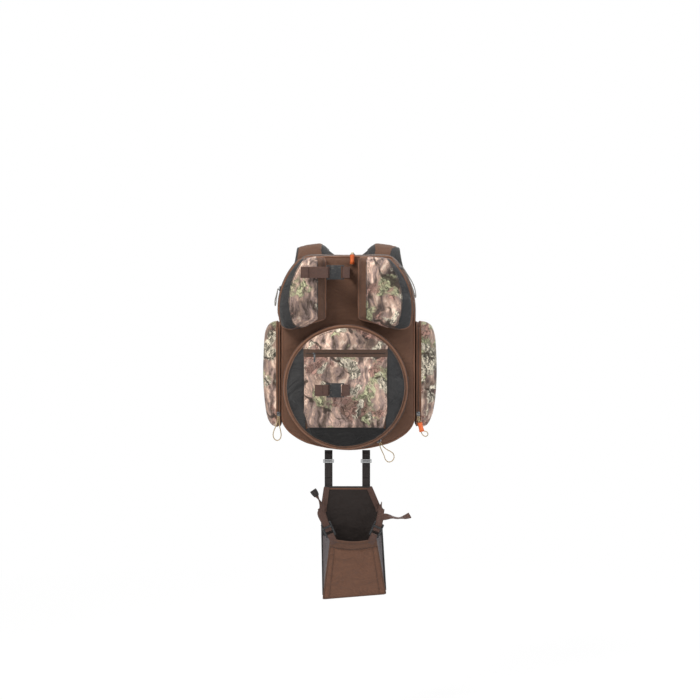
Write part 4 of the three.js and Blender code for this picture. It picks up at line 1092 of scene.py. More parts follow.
class BACKPACK_OT_panels(bpy.types.Operator):
    """Lay the printed and charcoal panels on the pockets, with their piping and seams"""

    bl_idname = "backpack.panels"
    bl_label = "Panels"

    def execute(self, context):
        self.upper()
        self.lower()
        self.side()
        self.bag()
        return {"FINISHED"}

    def upper(self):
        for name, pocket in UPPER.items():
            source = PIECES[name + "_upper_pod"]
            base = surface_of(source)
            planes = front_planes(upper_region(pocket, *UPPER_STRIP))
            panel(name + "_upper_charcoal", source, planes, FRONT, "charcoal", name + "_upper_strip", 0.0002)
            outline = upper_region(pocket, *UPPER_PRINT)
            planes = front_planes(outline)
            printed = panel(name + "_upper_print", source, planes, FRONT, "printed", name + "_upper_panel", 0.001)
            stitches(name + "_upper_stitches", [on_front(inset_line(outline, SEAM), surface_of(printed))])
            # painted shadow: a thin black tube along the print's edge, for the shade in the seam
            fold = on_front(inset_line(outline, 0.4), base, 0.0023)
            tube(name + "_upper_seam_shadow", eased(fold), 0.0016, "binding", closed=True)
            ring = on_front(inset_line(upper_region(pocket, *UPPER_POD), 4), base, 0.0006)
            tube(name + "_upper_piping", eased(ring, 3), sizes().piping, "piping", closed=True)

    def lower(self):
        source = PIECES["lower_round_pocket"]
        base = surface_of(source)
        disc = front_planes(arc(*ROUND, 132, 132, 0, 2 * math.pi, 48)[:-1])

        def clipped(*lines):
            """The disc's planes and further ones, each through a point and facing a direction, in the front view."""
            return disc + [(front_place(u, v, 0), Vector((nu, 0, nv)).normalized()) for u, v, nu, nv in lines]

        middle = ROUND[0]
        left, right = LOWER_EDGES
        slope_x, slope_z = CUT_SLOPE
        for name, side in SIDES.items():
            planes = clipped(
                (middle + side * 90, ROUND[1], -side, 0), (middle + side * 84, CUT_Z, -side * slope_x, -slope_z)
            )
            cad = "lower_pocket_" + name + "_strip"
            panel("lower_" + name + "_charcoal", source, planes, FRONT, "charcoal", cad, 0.0002)
        planes = clipped(
            (middle + 84, CUT_Z, slope_x, slope_z), (middle - 84, CUT_Z, -slope_x, slope_z), (0, 80, 0, 1)
        )
        panel("lower_base_charcoal", source, planes, FRONT, "base", "lower_pocket_base_panel", 0.0004)
        planes = clipped((left, 0, -1, 0), (right, 0, 1, 0), (0, 210, 0, -1), (0, 240, 0, 1))
        panel("lower_zip_tape", source, planes, FRONT, "tape", (), 0.0006, 0.001)
        planes = clipped((left, 0, -1, 0), (right, 0, 1, 0), (0, 233, 0, -1))
        top = panel("lower_top_print", source, planes, FRONT, "printed", "lower_pocket_top_panel", 0.0012)
        face = [(left, 216), (left, 92), (left + 10, CUT_Z), (right - 10, CUT_Z), (right, 92), (right, 216)]
        planes = disc + front_planes(face)
        front = panel("lower_front_print", source, planes, FRONT, "printed", "lower_pocket_front_panel", 0.0012)
        lines = [
            on_front(inset_line(face, SEAM), surface_of(front)),
            on_front([(left + 3, 237), (right - 3, 237)], surface_of(top), closed=False),
        ]
        stitches("lower_stitches", lines)
        # painted shadow: a thin black tube along the front print's edge, for the shade in the seam
        fold = on_front(face, base, 0.0026, closed=False)
        tube("lower_seam_shadow", eased(fold), 0.0016, "binding")
        for label, radius, lift, finish, size in (
            ("piping", 138, 0.0008, "piping", 1.45),
            ("inner_piping", 132.5, 0.0, "piping", 0.7),
            # a thin black tube inside the ring: painted shadow along the seam
            ("ring_seam_shadow", 130.4, 0.002, "binding", 0.4),
        ):
            circle = arc(*ROUND, radius, radius, 0, 2 * math.pi, 96)[:-1]
            ring = laid([front_place(u, v, 0) for u, v in circle], BACK, base, lift)
            tube("lower_" + label, eased(ring, 2), sizes().piping * size, finish, closed=True)

    def side(self):
        for name, side in SIDES.items():
            source = PIECES[name + "_side_pouch"]
            base = surface_of(source)
            place = side_place(side)
            depth = side_depth(side)
            outward = RIGHT * side
            planes = [(place(0, 0, SIDE_GUSSET * depth), -outward)]
            panel(name + "_side_print", source, planes, outward, "printed", name + "_side_panel", 0.0004, facing=-0.5)
            for label, share, lift in (("piping", SIDE_GUSSET, 0.0008), ("seam", 0.02, 0.0004)):
                points = [place(u, v, share * depth) for u, v in rounded(*SIDE_OUTLINE)]
                rim = eased(hugging(evenly(points + [points[0]])[:-1], base, lift), 2)
                tube(name + "_side_" + label, rim, sizes().piping * 0.8, "piping", closed=True)

    def bag(self):
        outline = bag_outline()
        shell = surface_of(PIECES["main_bag_shell"])
        for label, y, inset in (("front", -126.5, 1.2), ("back", -1.0, 0.6)):
            points = [at(u, y, v) for u, v in inset_line(outline, inset)]
            ring = evenly(points + [points[0]], 0.005)[:-1]
            ring = eased(hugging(ring, shell, 0.001), 2)
            tube("bag_" + label + "_piping", ring, sizes().piping, "piping", closed=True)


# ---------------- zips


COIL_PITCH = 0.0024
MAIN_ZIP_Y = -106


def coil_row(name, path):
    """The closed teeth of a coil zip: a row of small beads, drawn a little coarse so that they show."""
    bm = bmesh.new()
    spots = evenly(path, COIL_PITCH)
    for a, b in zip(spots, spots[1:]):
        add_grain(bm, a, b, (COIL_PITCH * 0.42, 0.0017, 0.0009))
    return make_piece(name, bm, "coil")


def draped(name, rows, surface, material, lift):
    """A tape laid on a surface: rows of rays, each with where it starts and its direction."""
    made = []
    for row in rows:
        line = []
        for start, direction in row:
            spot = surface.ray_cast(start, direction, 0.06)[0]
            line.append((spot if spot is not None else start + direction * 0.03) - direction * lift)
        made.append(line)
    piece = make_piece(name, grid(made), material, mapped=True)
    thickened(piece, 0.0008)
    applied(piece)
    return made


def sew_zip(name, rows, surface, lift, centre):
    """Lays a tape, the coil along its middle and a row of stitches along both its edges."""
    made = draped(name + "_tape", rows, surface, "tape", lift)
    coil_row(name + "_coil", [(row[2] + row[3]) / 2 + (row[2] - centre).normalized() * 0.0004 for row in made])
    stitches(name + "_stitches", [[row[k] for row in made] for k in (0, 5)])


class BACKPACK_OT_zips(bpy.types.Operator):
    """Sew the zips: tapes and coils"""

    bl_idname = "backpack.zips"
    bl_label = "Zips"

    def execute(self, context):
        for name, pocket in UPPER.items():
            centre = pocket["side"] * (pocket["outer"] - UPPER_POD[1])
            start, end = math.radians(-14), math.radians(46)
            angles = [start + (end - start) * i / 48 for i in range(49)]
            if pocket["side"] < 0:
                angles = [math.pi - a for a in angles]
            source = PIECES[name + "_upper_pod"]
            self.arc_zip(name + "_upper_zip", source, (centre, FRONT_Y - 18, UPPER_POD[2]), UPPER_POD[3], angles)
        angles = [math.radians(-75 + 85 * i / 60) for i in range(61)]
        source = PIECES["lower_round_pocket"]
        self.arc_zip("lower_zip", source, (ROUND[0], FRONT_Y - 14, ROUND[1]), ROUND_RADIUS, angles)
        for name, side in SIDES.items():
            self.side_zip(name, side)
        self.top_zip()
        self.front_zip()
        return {"FINISHED"}

    def arc_zip(self, name, source, centre, radius, angles):
        """A zip round a pocket's wall, along an arc of the front view."""
        x, y, z = centre
        rows = []
        for angle in angles:
            out = Vector((math.cos(angle), 0, math.sin(angle)))
            rows.append(
                [(at(x, y + off, z) + out * (radius + 20) * MM, -out) for off in (-11, -5.5, -1.5, 1.5, 5.5, 11)]
            )
        sew_zip(name, rows, surface_of(source), 0.0004, at(x, y, z))

    def side_zip(self, name, side):
        x = BAG_X + side * (SIDE_WALL + SIDE_GUSSET / 2 * side_depth(side))
        rows = []
        for i in range(41):
            z = 66 + (281 - 66) * i / 40
            rows.append([(at(x + off, -150, z), BACK) for off in (-3.6, -1.6, 1.6, 3.6)])
        surface = surface_of(PIECES[name + "_side_pouch"])
        # the tape takes the lighter piping cloth: painted light that lifts the shade in the recess between the bag and
        # the pouch
        made = draped(name + "_side_zip_tape", rows, surface, "piping", 0.0003)
        coil_row(name + "_side_zip_coil", [(row[1] + row[2]) / 2 - BACK * 0.0005 for row in made])

    def top_zip(self):
        """The main zip: over the bag's top and a little way down both its shoulders."""
        height, radius = SHOULDER
        corner = BAG_X + BAG_HALF - radius
        turns = np.linspace(-0.25, SHOULDER_TURN, 26)
        path = [(corner + radius * math.cos(a), height + radius * math.sin(a)) for a in turns]
        mirror = 2 * BAG_X
        path += [(x, BAG_TOP) for x in np.linspace(path[-1][0] - 6, mirror - path[-1][0] + 6, 30)]
        path += [(mirror - u, v) for u, v in reversed(path[:26])]
        rows = []
        for u, v in path:
            out = UP if v >= BAG_TOP - 0.1 else Vector((u - BAG_X, 0, v - height)).normalized()
            rows.append([(at(u, MAIN_ZIP_Y + off, v) + out * 0.02, -out) for off in (-12, -6, -1.5, 1.5, 6, 12)])
        sew_zip("main_zip", rows, surface_of(PIECES["main_bag_shell"]), 0.0003, at(BAG_X, MAIN_ZIP_Y, height))

    def front_zip(self):
        surface = surface_of(bpy.data.objects["lower_zip_tape"])
        path = laid([at(x, FRONT_Y, 224.5) for x in np.linspace(-100, 80, 60)], BACK, surface, 0.0004)
        coil_row("front_zip_coil", path)


def softened(name, node, radius, material):
    """A moulded copy of a CAD piece with its corners rounded."""
    bm = bmesh.new()
    bm.from_mesh(frame["nodes"][node].data)
    bmesh.ops.remove_doubles(bm, verts=bm.verts, dist=TOUCHING)
    bmesh.ops.dissolve_limit(bm, angle_limit=0.02, verts=bm.verts, edges=bm.edges)
    bm.normal_update()
    round_edges(bm, radius, clamp=True)
    bmesh.ops.triangulate(bm, faces=[f for f in bm.faces if len(f.verts) > 4])
    bodies = frame["record"]["behaviour"]["bodies"]
    body = next(body for body, nodes in bodies.items() if node in nodes)
    return make_piece(name, bm, material, body, replaces=node)


class BACKPACK_OT_hardware(bpy.types.Operator):
    """Mould the buckles and ladder locks and cast the zip sliders"""

    bl_idname = "backpack.hardware"
    bl_label = "Hardware"

    def execute(self, context):
        for buckle in ("upper_strap", "lower_strap", "sternum"):
            for half in ("_socket", "_plug"):
                softened(buckle + half + "_moulding", buckle + half, 0.0006, "plastic")
        for side in SIDES:
            lock = "boot_" + side + "_lock"
            softened(lock + "_moulding", lock, 0.0007, "gloss")
        for node in list(frame["nodes"]):
            if node.endswith("_slider"):
                softened(node + "_casting", node, 0.0003, "zinc")
        return {"FINISHED"}


# ---------------- cords

# routes of the zips' cord loops, from the slider and back to it, in the pack's own millimetres
PULLS = {
    "main_zip": [
        (4.5, -108.8, 450), (4.2, -121, 451.8), (3.6, -133, 448), (3.2, -136, 438), (3.6, -136.6, 430),
        (5, -136.8, 423.5), (6.4, -136.6, 430), (6.8, -136, 438), (6.6, -133, 448), (7, -121, 451.8),
        (7.5, -108.8, 450),
    ],
    "left_upper_zip": [
        (-163, -147, 370), (-167.5, -144.5, 352.3), (-169.8, -143.5, 344), (-170.1, -144, 335.4),
        (-169.3, -148, 331.1), (-167.6, -152, 335.2), (-166.8, -153, 343.6), (-165.6, -152, 351.9),
        (-163, -149.6, 370),
    ],
    "right_upper_zip": [
        (118.7, -147, 419.6), (130.9, -145, 400.5), (140, -144, 385.8), (146.6, -143.5, 369.8), (149, -145, 355.5),
        (148.5, -148, 349.6), (146.2, -151.5, 355), (142.3, -153, 368.6), (136.2, -152.5, 384.3),
        (129, -151.5, 399.5), (118.7, -149.6, 419.6),
    ],
    "left_side_zip": [
        (-164.4, -127.7, 79), (-165.4, -131, 68), (-168.6, -133, 57), (-173, -133, 47), (-175.2, -133, 37),
        (-172.6, -133, 28), (-165.8, -133, 24.2), (-159.2, -133, 28), (-156.8, -133, 36.5), (-158, -133, 46),
        (-160.4, -133, 57), (-161.6, -131, 68), (-161.6, -127.7, 79),
    ],
    "right_side_zip": [
        (154.6, -127.7, 79), (155, -129.4, 71), (157.4, -131, 63), (159.8, -131.4, 53), (162.4, -131.6, 43),
        (166.4, -131.6, 36), (173, -131.6, 33.4), (177.6, -131.6, 38), (174.6, -131.6, 44), (168.4, -131.6, 45.6),
        (163.6, -131.4, 53), (161, -131, 63), (158.6, -129.4, 71), (157.4, -127.7, 79),
    ],
    "lower_zip": [
        (66.8, -144.3, 19.2), (69, -147.5, 9.5), (73, -150, 0.6), (77, -150.6, -8), (80, -150.6, -17),
        (86, -150.6, -23), (94, -150.6, -22), (99.6, -150.6, -15), (99, -150.6, -6), (93, -150.6, 0),
        (84.6, -150.2, 4.4), (76.4, -148.2, 10.6), (69.3, -144.3, 20.8),
    ],
}
# where the moulded sleeves start and end, and their radius
SLEEVES = {
    "main_zip": ((5, -136.6, 447), (5, -136.7, 425), 5.2),
    "right_side_zip": ((158.7, -130.9, 65), (163.9, -131.5, 44), 6),
}
CORD = 0.0022
BRAID_SIDES = 10
SLEEVE_SHAPE = ((0.0, 0.82), (0.05, 1.0), (0.3, 0.9), (0.5, 0.86), (0.7, 0.9), (0.95, 1.0), (1.0, 0.82))


class BACKPACK_OT_pulls(bpy.types.Operator):
    """Thread the cord pulls of the zips"""

    bl_idname = "backpack.pulls"
    bl_label = "Zip pulls"

    def execute(self, context):
        for name, route in PULLS.items():
            path = spline([at(*p) for p in route], 48)
            body = name.replace("_zip", "_slider")
            cord = self.cord(name, path, body, "grey_cord" if "upper" in name else "cord")
            sleeve = self.sleeve(name, body)
            run_lengths(path)[-1]
        return {"FINISHED"}

    def cord(self, name, path, body, finish):
        """A tube with its braid mapped round and along it."""
        turns = [2 * math.pi * k / BRAID_SIDES for k in range(BRAID_SIDES + 1)]
        rows = []
        normal = UP.copy()
        for i, p in enumerate(path):
            tangent = heading(path, i)
            normal = (normal - tangent * normal.dot(tangent)).normalized()
            side = tangent.cross(normal)
            rows.append([p + (normal * math.cos(a) + side * math.sin(a)) * CORD / 2 for a in turns])
        bm = grid(rows)
        layer = bm.loops.layers.uv["weave"]
        for face in bm.faces:
            for loop in face.loops:
                loop[layer].uv = ((loop.vert.index % len(turns)) / BRAID_SIDES, loop[layer].uv[1])
        bmesh.ops.remove_doubles(bm, verts=bm.verts, dist=TOUCHING)
        ends = [e for e in bm.edges if e.is_boundary]
        bmesh.ops.holes_fill(bm, edges=ends, sides=0)
        bmesh.ops.recalc_face_normals(bm, faces=bm.faces)
        return make_piece(name + "_cord", bm, finish, body, replaces=name + "_pull", mapped=True)

    def sleeve(self, name, body):
        """The moulded sleeve that holds the loop's two runs together, with a waist to grip."""
        if name not in SLEEVES:
            return None
        *ends, radius = SLEEVES[name]
        start, end = (at(*p) for p in ends)
        length = (end - start).length
        bm = bmesh.new()
        bmesh.ops.create_circle(bm, cap_ends=True, segments=20, radius=radius * MM)
        cap = bm.faces[:]
        size = 1.0
        for share, wanted in SLEEVE_SHAPE:
            made = bmesh.ops.extrude_face_region(bm, geom=cap, use_keep_orig=share == 0)["geom"]
            verts = [g for g in made if isinstance(g, bmesh.types.BMVert)]
            cap = [g for g in made if isinstance(g, bmesh.types.BMFace)]
            for v in verts:
                v.co.z = share * length
            bmesh.ops.scale(bm, vec=(wanted / size, wanted / size, 1), verts=verts)
            size = wanted
        bmesh.ops.recalc_face_normals(bm, faces=bm.faces)
        turn = (end - start).to_track_quat("Z", "Y").to_matrix().to_4x4()
        turn.translation = start
        bmesh.ops.transform(bm, matrix=turn, verts=bm.verts)
        return make_piece(name + "_sleeve", bm, "sleeve", body)


# ---------------- straps

SHOULDER_ROUTE = [
    (5.8, 388), (6.6, 410), (15, 442), (36, 468), (66, 471), (88, 440), (94, 380), (94, 300), (88, 226), (72, 176),
    (62, 134),
]
SHOULDER_Z = [134, 200, 260, 320, 380, 430, 484]
STRAP_PAD = 14
STRAP_EDGE = 0.955  # share of the half width at which the binding lies
ADJUSTER = (118, 69, 105)


def eased_table(zs, values):
    """A function of height that passes smoothly through the values."""
    made = spline([Vector((v, z, 0)) for v, z in zip(values, zs)], 48)
    table = sorted((p.y, p.x) for p in made)
    heights = [a for a, b in table]
    widths = [b for a, b in table]
    return lambda z: float(np.interp(z, heights, widths))


strap_middle = eased_table(SHOULDER_Z, [118, 121, 122, 116, 102, 88, 83])
strap_half = eased_table(SHOULDER_Z, [26, 28, 31, 34, 36, 37, 36])


def side_line(x, places, step=0.002):
    """A line of even steps at one x, through places given as y and z."""
    return evenly([at(x, y, z) for y, z in places], step)


def put(bm, place):
    """Moves a form that is drawn in millimetres to its place."""
    for v in bm.verts:
        v.co = place + v.co * MM
    return bm


def wrap_radius(wide, deep, half=0.8):
    """Radius of a webbing's middle where it turns round a bar of this section, 0.3 mm off it."""
    return math.hypot(wide, deep) / 2 + 0.3 + half


class BACKPACK_OT_shoulder_straps(bpy.types.Operator):
    """Shape the padded shoulder straps with their bindings and adjusters"""

    bl_idname = "backpack.shoulder_straps"
    bl_label = "Shoulder straps"

    def execute(self, context):
        route = [Vector((0, y + STRAP_PAD / 2, z)) for y, z in SHOULDER_ROUTE]
        line = evenly([p * MM for p in spline(route, 160)], 0.006)
        line = [p / MM for p in line]
        for name, side in SIDES.items():
            self.strap(name, side, line)
            self.wing(name, side, line)
            self.adjuster(name, side)
        return {"FINISHED"}

    def place(self, p, side, u, share=STRAP_EDGE):
        """A place across a strap, u from -1 at its inner edge to 1 at its outer one."""
        x = BAG_X + side * (strap_middle(p.z) + u * strap_half(p.z) * share)
        return at(x, p.y, p.z - self.slope(u, p.z))

    def slope(self, u, z):
        """How much lower a strap's outer edge lies where it goes over the shoulder."""
        rolled = 24 * max(-0.5 - u, 0)  # the inner edge rolls down, which shows the mesh there
        return (4.5 * (u + 1) + rolled) * clamped((z - 425) / 40)

    def strap(self, name, side, line):
        across = 22
        rows, factors = [], []
        for i, p in enumerate(line):
            row = []
            for k in range(across + 1):
                u = 2 * k / across - 1
                row.append(self.place(p, side, u, 0.97))
                groove = 0.16 * math.exp(-(((abs(u) - 0.62) / 0.06) ** 2))
                ends = min(1, (i + 1) / 5, (len(line) - i) / 4)
                factors.append((1 - 0.62 * abs(u) ** 4 - groove) * (0.45 + 0.55 * ends))
            rows.append(row)
        bm = grid(rows)
        bmesh.ops.reverse_faces(bm, faces=bm.faces)
        finishes = ["strap", "mesh", "binding"]
        cad = name + "_shoulder_strap"
        piece = make_piece(name + "_padded_strap", bm, finishes, replaces=cad, mapped=True)
        group = piece.vertex_groups.new(name="pad")
        for index, factor in enumerate(factors):
            group.add([index], factor, "REPLACE")
        wall = thickened(piece, STRAP_PAD * MM)
        wall.vertex_group = "pad"
        wall.material_offset = 1
        wall.material_offset_rim = 2
        refined(piece)
        piece.vertex_groups.clear()
        centre = at(BAG_X, 50, 340)
        cloth = [p for p in piece.data.polygons if p.material_index == 0]
        facing = sum(p.normal.dot(Vector((0, p.center.y - centre.y, p.center.z - centre.z))) for p in cloth)
        if facing < 0:
            for p in piece.data.polygons:
                if p.material_index < 2:
                    p.material_index = 1 - p.material_index
        for p in piece.data.polygons:
            if p.material_index == 0 and self.shows_mesh(p.center / MM + ORIGIN, side):
                p.material_index = 1
        for u in (-1, 1):
            path = [self.place(p, side, u) for p in line]
            tube(name + "_strap_binding_" + ("in" if u * side < 0 else "out"), path, 0.0076, "binding", sides=12)

    def shows_mesh(self, place, side):
        """Near the crest the mesh laps round the inner edge, and on the right strap, which is turned, the outer one."""
        u = (side * (place.x - BAG_X) - strap_middle(place.z)) / strap_half(place.z)
        if u < -1 + 0.42 * clamped((place.z - 430) / 25):
            return True
        turned = 0.62 - 0.42 * clamped((475 - place.z) / 37) + 0.38 * clamped((place.y - 36) / 24)
        return side > 0 and place.z > 425 and u > turned

    def wing(self, name, side, line):
        """The mesh wing between a strap's inner edge and the top of the back, bound on its free edge."""
        edge = [self.place(p, side, -1) for p in line if p.y < 52 and p.z > 441]
        low = edge[0] - RIGHT * side * 0.031
        free = [low.lerp(edge[-1], i / (len(edge) - 1)) for i in range(len(edge))]
        for place, along in zip(free, edge):
            place.y = along.y
        rows = [[a.lerp(b, k / 6) for k in range(7)] for a, b in zip(edge[:-1], free[:-1])]
        piece = make_piece(name + "_strap_wing", grid(rows), "mesh", mapped=True)
        thickened(piece, 0.005)
        applied(piece)
        tube(name + "_strap_wing_binding", free, 0.006, "binding", sides=12)

    def adjuster(self, name, side):
        x = BAG_X + side * ADJUSTER[0]
        make_piece(name + "_adjuster", put(ladder(36, 34, 4, 5), at(x, *ADJUSTER[1:])), "plastic")
        loop = [(76.5, 172), (76, 156), (74.4, 144), (72.8, 137), (69, 131.4), (65.2, 137), (63.4, 144), (61.5, 158)]
        path = evenly(spline([at(x, y, z) for y, z in loop], 40), 0.002)
        strip(name + "_adjuster_loop", path, RIGHT, 24, "webbing")


def ladder(width, height, thickness, bar):
    """A ladder lock's frame round two slots, drawn in millimetres with its lower edge at zero."""
    bm = bmesh.new()
    bmesh.ops.create_grid(bm, x_segments=3, y_segments=5, size=1)
    bm.verts.ensure_lookup_table()
    columns = [-width / 2, -width / 2 + bar, width / 2 - bar, width / 2]
    slot = (height - 3 * bar) / 2
    rows = [0, bar, bar + slot, 2 * bar + slot, 2 * bar + 2 * slot, height]
    for v in bm.verts:
        v.co = Vector((columns[v.index % 4], 0, rows[v.index // 4]))
    bm.faces.ensure_lookup_table()
    holes = []
    for face in bm.faces:
        c = face.calc_center_median()
        if abs(c.x) < width / 2 - bar and (rows[1] < c.z < rows[2] or rows[3] < c.z < rows[4]):
            holes.append(face)
    bmesh.ops.delete(bm, geom=holes, context="FACES")
    made = bmesh.ops.extrude_face_region(bm, geom=bm.faces[:], use_keep_orig=True)["geom"]
    bmesh.ops.translate(bm, vec=(0, thickness, 0), verts=[g for g in made if isinstance(g, bmesh.types.BMVert)])
    bmesh.ops.translate(bm, vec=(0, -thickness / 2, 0), verts=bm.verts)
    bmesh.ops.recalc_face_normals(bm, faces=bm.faces)
    bm.normal_update()
    round_edges(bm, bar * 0.22)
    return bm


class BACKPACK_OT_webbing(bpy.types.Operator):
    """Sew the haul loop and the lower webbings"""

    bl_idname = "backpack.webbing"
    bl_label = "Haul loop and lower webbings"

    def execute(self, context):
        foot = PAD_Y + 0.9
        half = [(-42, foot), (-31, foot + 1.5), (-21, 23.8), (-9, 36.4), (0, 39.4)]
        loop = half + [(-u, v) for u, v in reversed(half[:-1])]
        path = evenly(eased(spline([at(BAG_X + u, v, 428) for u, v in loop], 80), 6), 0.003)
        strip("haul_loop_web", path, UP, 24, "webbing", thickness=2.2, replaces="haul_loop")
        grip = [p for p in path if abs(p.x - at(BAG_X, 0, 0).x) < 0.017]
        strip("haul_loop_grip", grip, UP, 25, "dark_webbing", thickness=4.2)
        ends = []
        for side in SIDES.values():
            x = BAG_X + side * 37
            spots = [(x - 4, 418), (x + 4, 438), (x + 4, 418), (x - 4, 438), (x - 4, 418), (x + 4, 418)]
            ends.append([at(u, foot + 1.2, v) for u, v in spots])
        stitches("haul_loop_tacks", ends)
        for name, side in SIDES.items():
            self.lower(name, side)
        return {"FINISHED"}

    def lower(self, name, side):
        """The webbing from the pack's foot up, round the adjuster's lower bar and down again."""
        x = BAG_X + side * ADJUSTER[0]
        y, bar = ADJUSTER[1], ADJUSTER[2] + 2.5
        wrap = wrap_radius(5, 4)
        line = [(PAD_Y + 0.8, 33.5), (PAD_Y + 0.8, 46)]
        line += arc(y, bar, wrap, wrap, 5 * math.pi / 6, 0, 10)
        line += [(y + wrap + 0.6, 84), (y + wrap - 0.6, 56), (y + wrap, 26)]
        path = eased(side_line(x, line), 2)
        strip(name + "_lower_web", path, RIGHT, 25, "webbing", replaces=name + "_lower_webbing")
        tuck = [(y + wrap + 1.9, 44), (y + wrap + 2.0, 30), (y + wrap + 0.9, 25.4)]
        strip(name + "_lower_tail_fold", side_line(x, tuck), RIGHT, 25, "webbing")
        spots = ((-10, 36), (10, 36), (-10, 46), (10, 46), (-10, 36), (-10, 46))
        stitches(name + "_lower_tack", [[at(x + u, PAD_Y + 1.9, z) for u, z in spots]])


RETAINING = {
    "upper": {"floor": -130.3, "buckle": -202.0, "z": 406, "tail": 58},
    "lower": {"floor": -182.9, "buckle": -228.6, "z": 144, "tail": 26},
}
WRAP = wrap_radius(2.5, 3.6)  # round a buckle's bar
BUCKLE_X = -20
SOCKET_BAR = -5.65
PLUG_BAR = 31.05


def tack_rows(line):
    """Four rows of stitches across a webbing that stands on its edge."""
    return [[p + UP * dz * MM for p in line] for dz in (-9, -3, 3, 9)]


class BACKPACK_OT_retaining_straps(bpy.types.Operator):
    """Sew the two retaining straps across the front"""

    bl_idname = "backpack.retaining_straps"
    bl_label = "Retaining straps"

    def execute(self, context):
        for name, strap in RETAINING.items():
            self.sew(name, strap)
        return {"FINISHED"}

    def sew(self, name, strap):
        z = strap["z"]
        floor = strap["floor"] - 0.9
        front = strap["buckle"]
        tail = strap["tail"]

        def place(points):
            return [at(x, y, z) for x, y in points]

        def path(points):
            return evenly(place(points), 0.0015)

        # the anchor: from the floor out, round the socket's bar and back
        bar = BUCKLE_X - SOCKET_BAR
        turn = arc(bar, front, WRAP, WRAP, math.pi / 2 - 0.3, math.pi / 2 + math.pi + 0.3, 10)
        hook = [(-1.8, front - 1.5), (bar + 6, front - WRAP + 0.4)]
        hook += turn[::-1] + [(bar + 6, front + WRAP - 0.4), (-2.2, front + 2.2), (-1, front + 7)]
        leg = [(-1, (front + floor) / 2), (-1, floor - 7), (-1.8, floor - 1.6), (-5, floor), (-17.5, floor)]
        strip(name + "_anchor_web", eased(path(hook + leg), 3), UP, 25, "webbing", replaces=name + "_strap_anchor")
        stitches(name + "_anchor_tack", tack_rows(place([(-4, floor - 1), (-16, floor - 1)])))
        # the webbing: from the floor out, round the plug's bar and on as the free tail
        bar = BUCKLE_X - PLUG_BAR
        line = [(-31, floor), (-44, floor), (-48, floor - 1.6), (-49, floor - 7), (-49, (front + floor) / 2)]
        line += [(-48.6, front + 8), (-47.9, front + 3)] + arc(bar, front, WRAP, WRAP, 0.2, -math.pi / 2, 8)[1:]
        line += [(bar - tail / 3, front - WRAP - 0.8), (bar - tail * 2 / 3, front - WRAP + 0.8)]
        line += [(bar - tail, front - WRAP)]
        replaces = [name + "_strap_web", name + "_strap_tail"]
        web = strip(name + "_strap_webbing", eased(path(line), 3), UP, 25, "webbing", None, replaces=replaces)
        body = name + "_strap_plug"
        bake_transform(web)
        end = bar - tail
        fold = [(end + 16, front - WRAP - 1.8), (end + 1, front - WRAP - 1.9), (end - 1, front - WRAP - 0.9)]
        strip(name + "_tail_fold", path(fold), UP, 25, "webbing", body)
        stitches(name + "_web_tack", tack_rows(place([(-33, floor - 1), (-43, floor - 1)])))


class BACKPACK_OT_sternum(bpy.types.Operator):
    """Sew the sternum strap"""

    bl_idname = "backpack.sternum"
    bl_label = "Sternum strap"

    def execute(self, context):
        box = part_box("sternum_web_left")
        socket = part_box("sternum_socket")
        face = box[0].y
        z = (box[0].z + box[1].z) / 2
        y = (socket[0].y + socket[1].y) / 2
        reach = WRAP * MM
        left, right = box[0].x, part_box("sternum_web_right")[1].x
        socket_bar, plug_bar = socket[0].x + 0.00125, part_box("sternum_plug")[1].x - 0.00125

        def path(fixed, way, bar, turn, back):
            """From a clip on a shoulder strap the given way to a buckle's bar, round it and back a little."""
            clip = ((0.004, 0.0052), (0.03, 0.0052), (0.045, 0.0062))
            line = [(fixed + way * off, face + rise) for off, rise in clip]
            line += [(bar - way * 0.02, y - 0.0022), (bar - way * 0.006, y - reach + 0.0004)]
            line += arc(bar, y, reach, reach, *turn, 10)
            line += [(bar - way * 0.006, y + reach - 0.0004), (bar - way * back, y + 0.0022)]
            return eased(evenly([Vector((u, v, z)) for u, v in line], 0.0018), 3)

        line = path(left, 1, socket_bar, (-math.pi / 2 - 0.3, math.pi / 2 + 0.3), 0.02)
        strip("sternum_left_webbing", line, UP, 20, "webbing", "sternum_strap", replaces="sternum_web_left")
        line = path(right, -1, plug_bar, (math.pi * 1.5 + 0.3, math.pi / 2 - 0.3), 0.024)
        web = strip("sternum_right_webbing", line, UP, 20, "webbing", None, replaces="sternum_web_right")
        start, end = (right - 0.03, y, z), (plug_bar + 0.004, y, z)
        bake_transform(web)
        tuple(start)
        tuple(end)
        for name, x in (("left", left + 0.015), ("right", right - 0.015)):
            plate = ladder(26, 30, 4, 4.5)
            for v in plate.verts:
                v.co = Vector((x, face + 0.002, z)) + Vector((v.co.z - 15, v.co.y, v.co.x)) * MM
            bmesh.ops.recalc_face_normals(plate, faces=plate.faces)
            make_piece("sternum_" + name + "_clip", plate, "plastic", "sternum_strap")
        return {"FINISHED"}


# ---------------- boot

REAR_TOP, REAR_BASE = (-84, -118), (-338, -84)
MOUTH, FRONT_BASE = (-198, -158), (-338, -131)
LOCK_TILT = 0.42
LOCK_X = {"left": -43, "right": 54}
LOCK_Z = -190
LOCK_WRAP = wrap_radius(4, 4, 1.0)
FREE_TAILS = {
    "left": [(-64, -166, -146), (-67, -168, -136), (-63, -167, -124), (-71, -165, -106), (-84, -163, -86)],
    "right": [
        (69, -166, -149), (77, -168, -146), (92, -168, -146), (108, -167, -149), (124, -165, -147), (136, -163, -143),
    ],
}


def on_slant(high, low, z):
    """The y at a height on the straight line between two places, each given as z and y."""
    return high[1] + (low[1] - high[1]) * (high[0] - z) / (high[0] - low[0])


def rear_y(z):
    return on_slant(REAR_TOP, REAR_BASE, z)


def front_y(z):
    return on_slant(MOUTH, FRONT_BASE, z)


def shifted(points, distance, direction=FRONT):
    return [p + direction * distance for p in points]


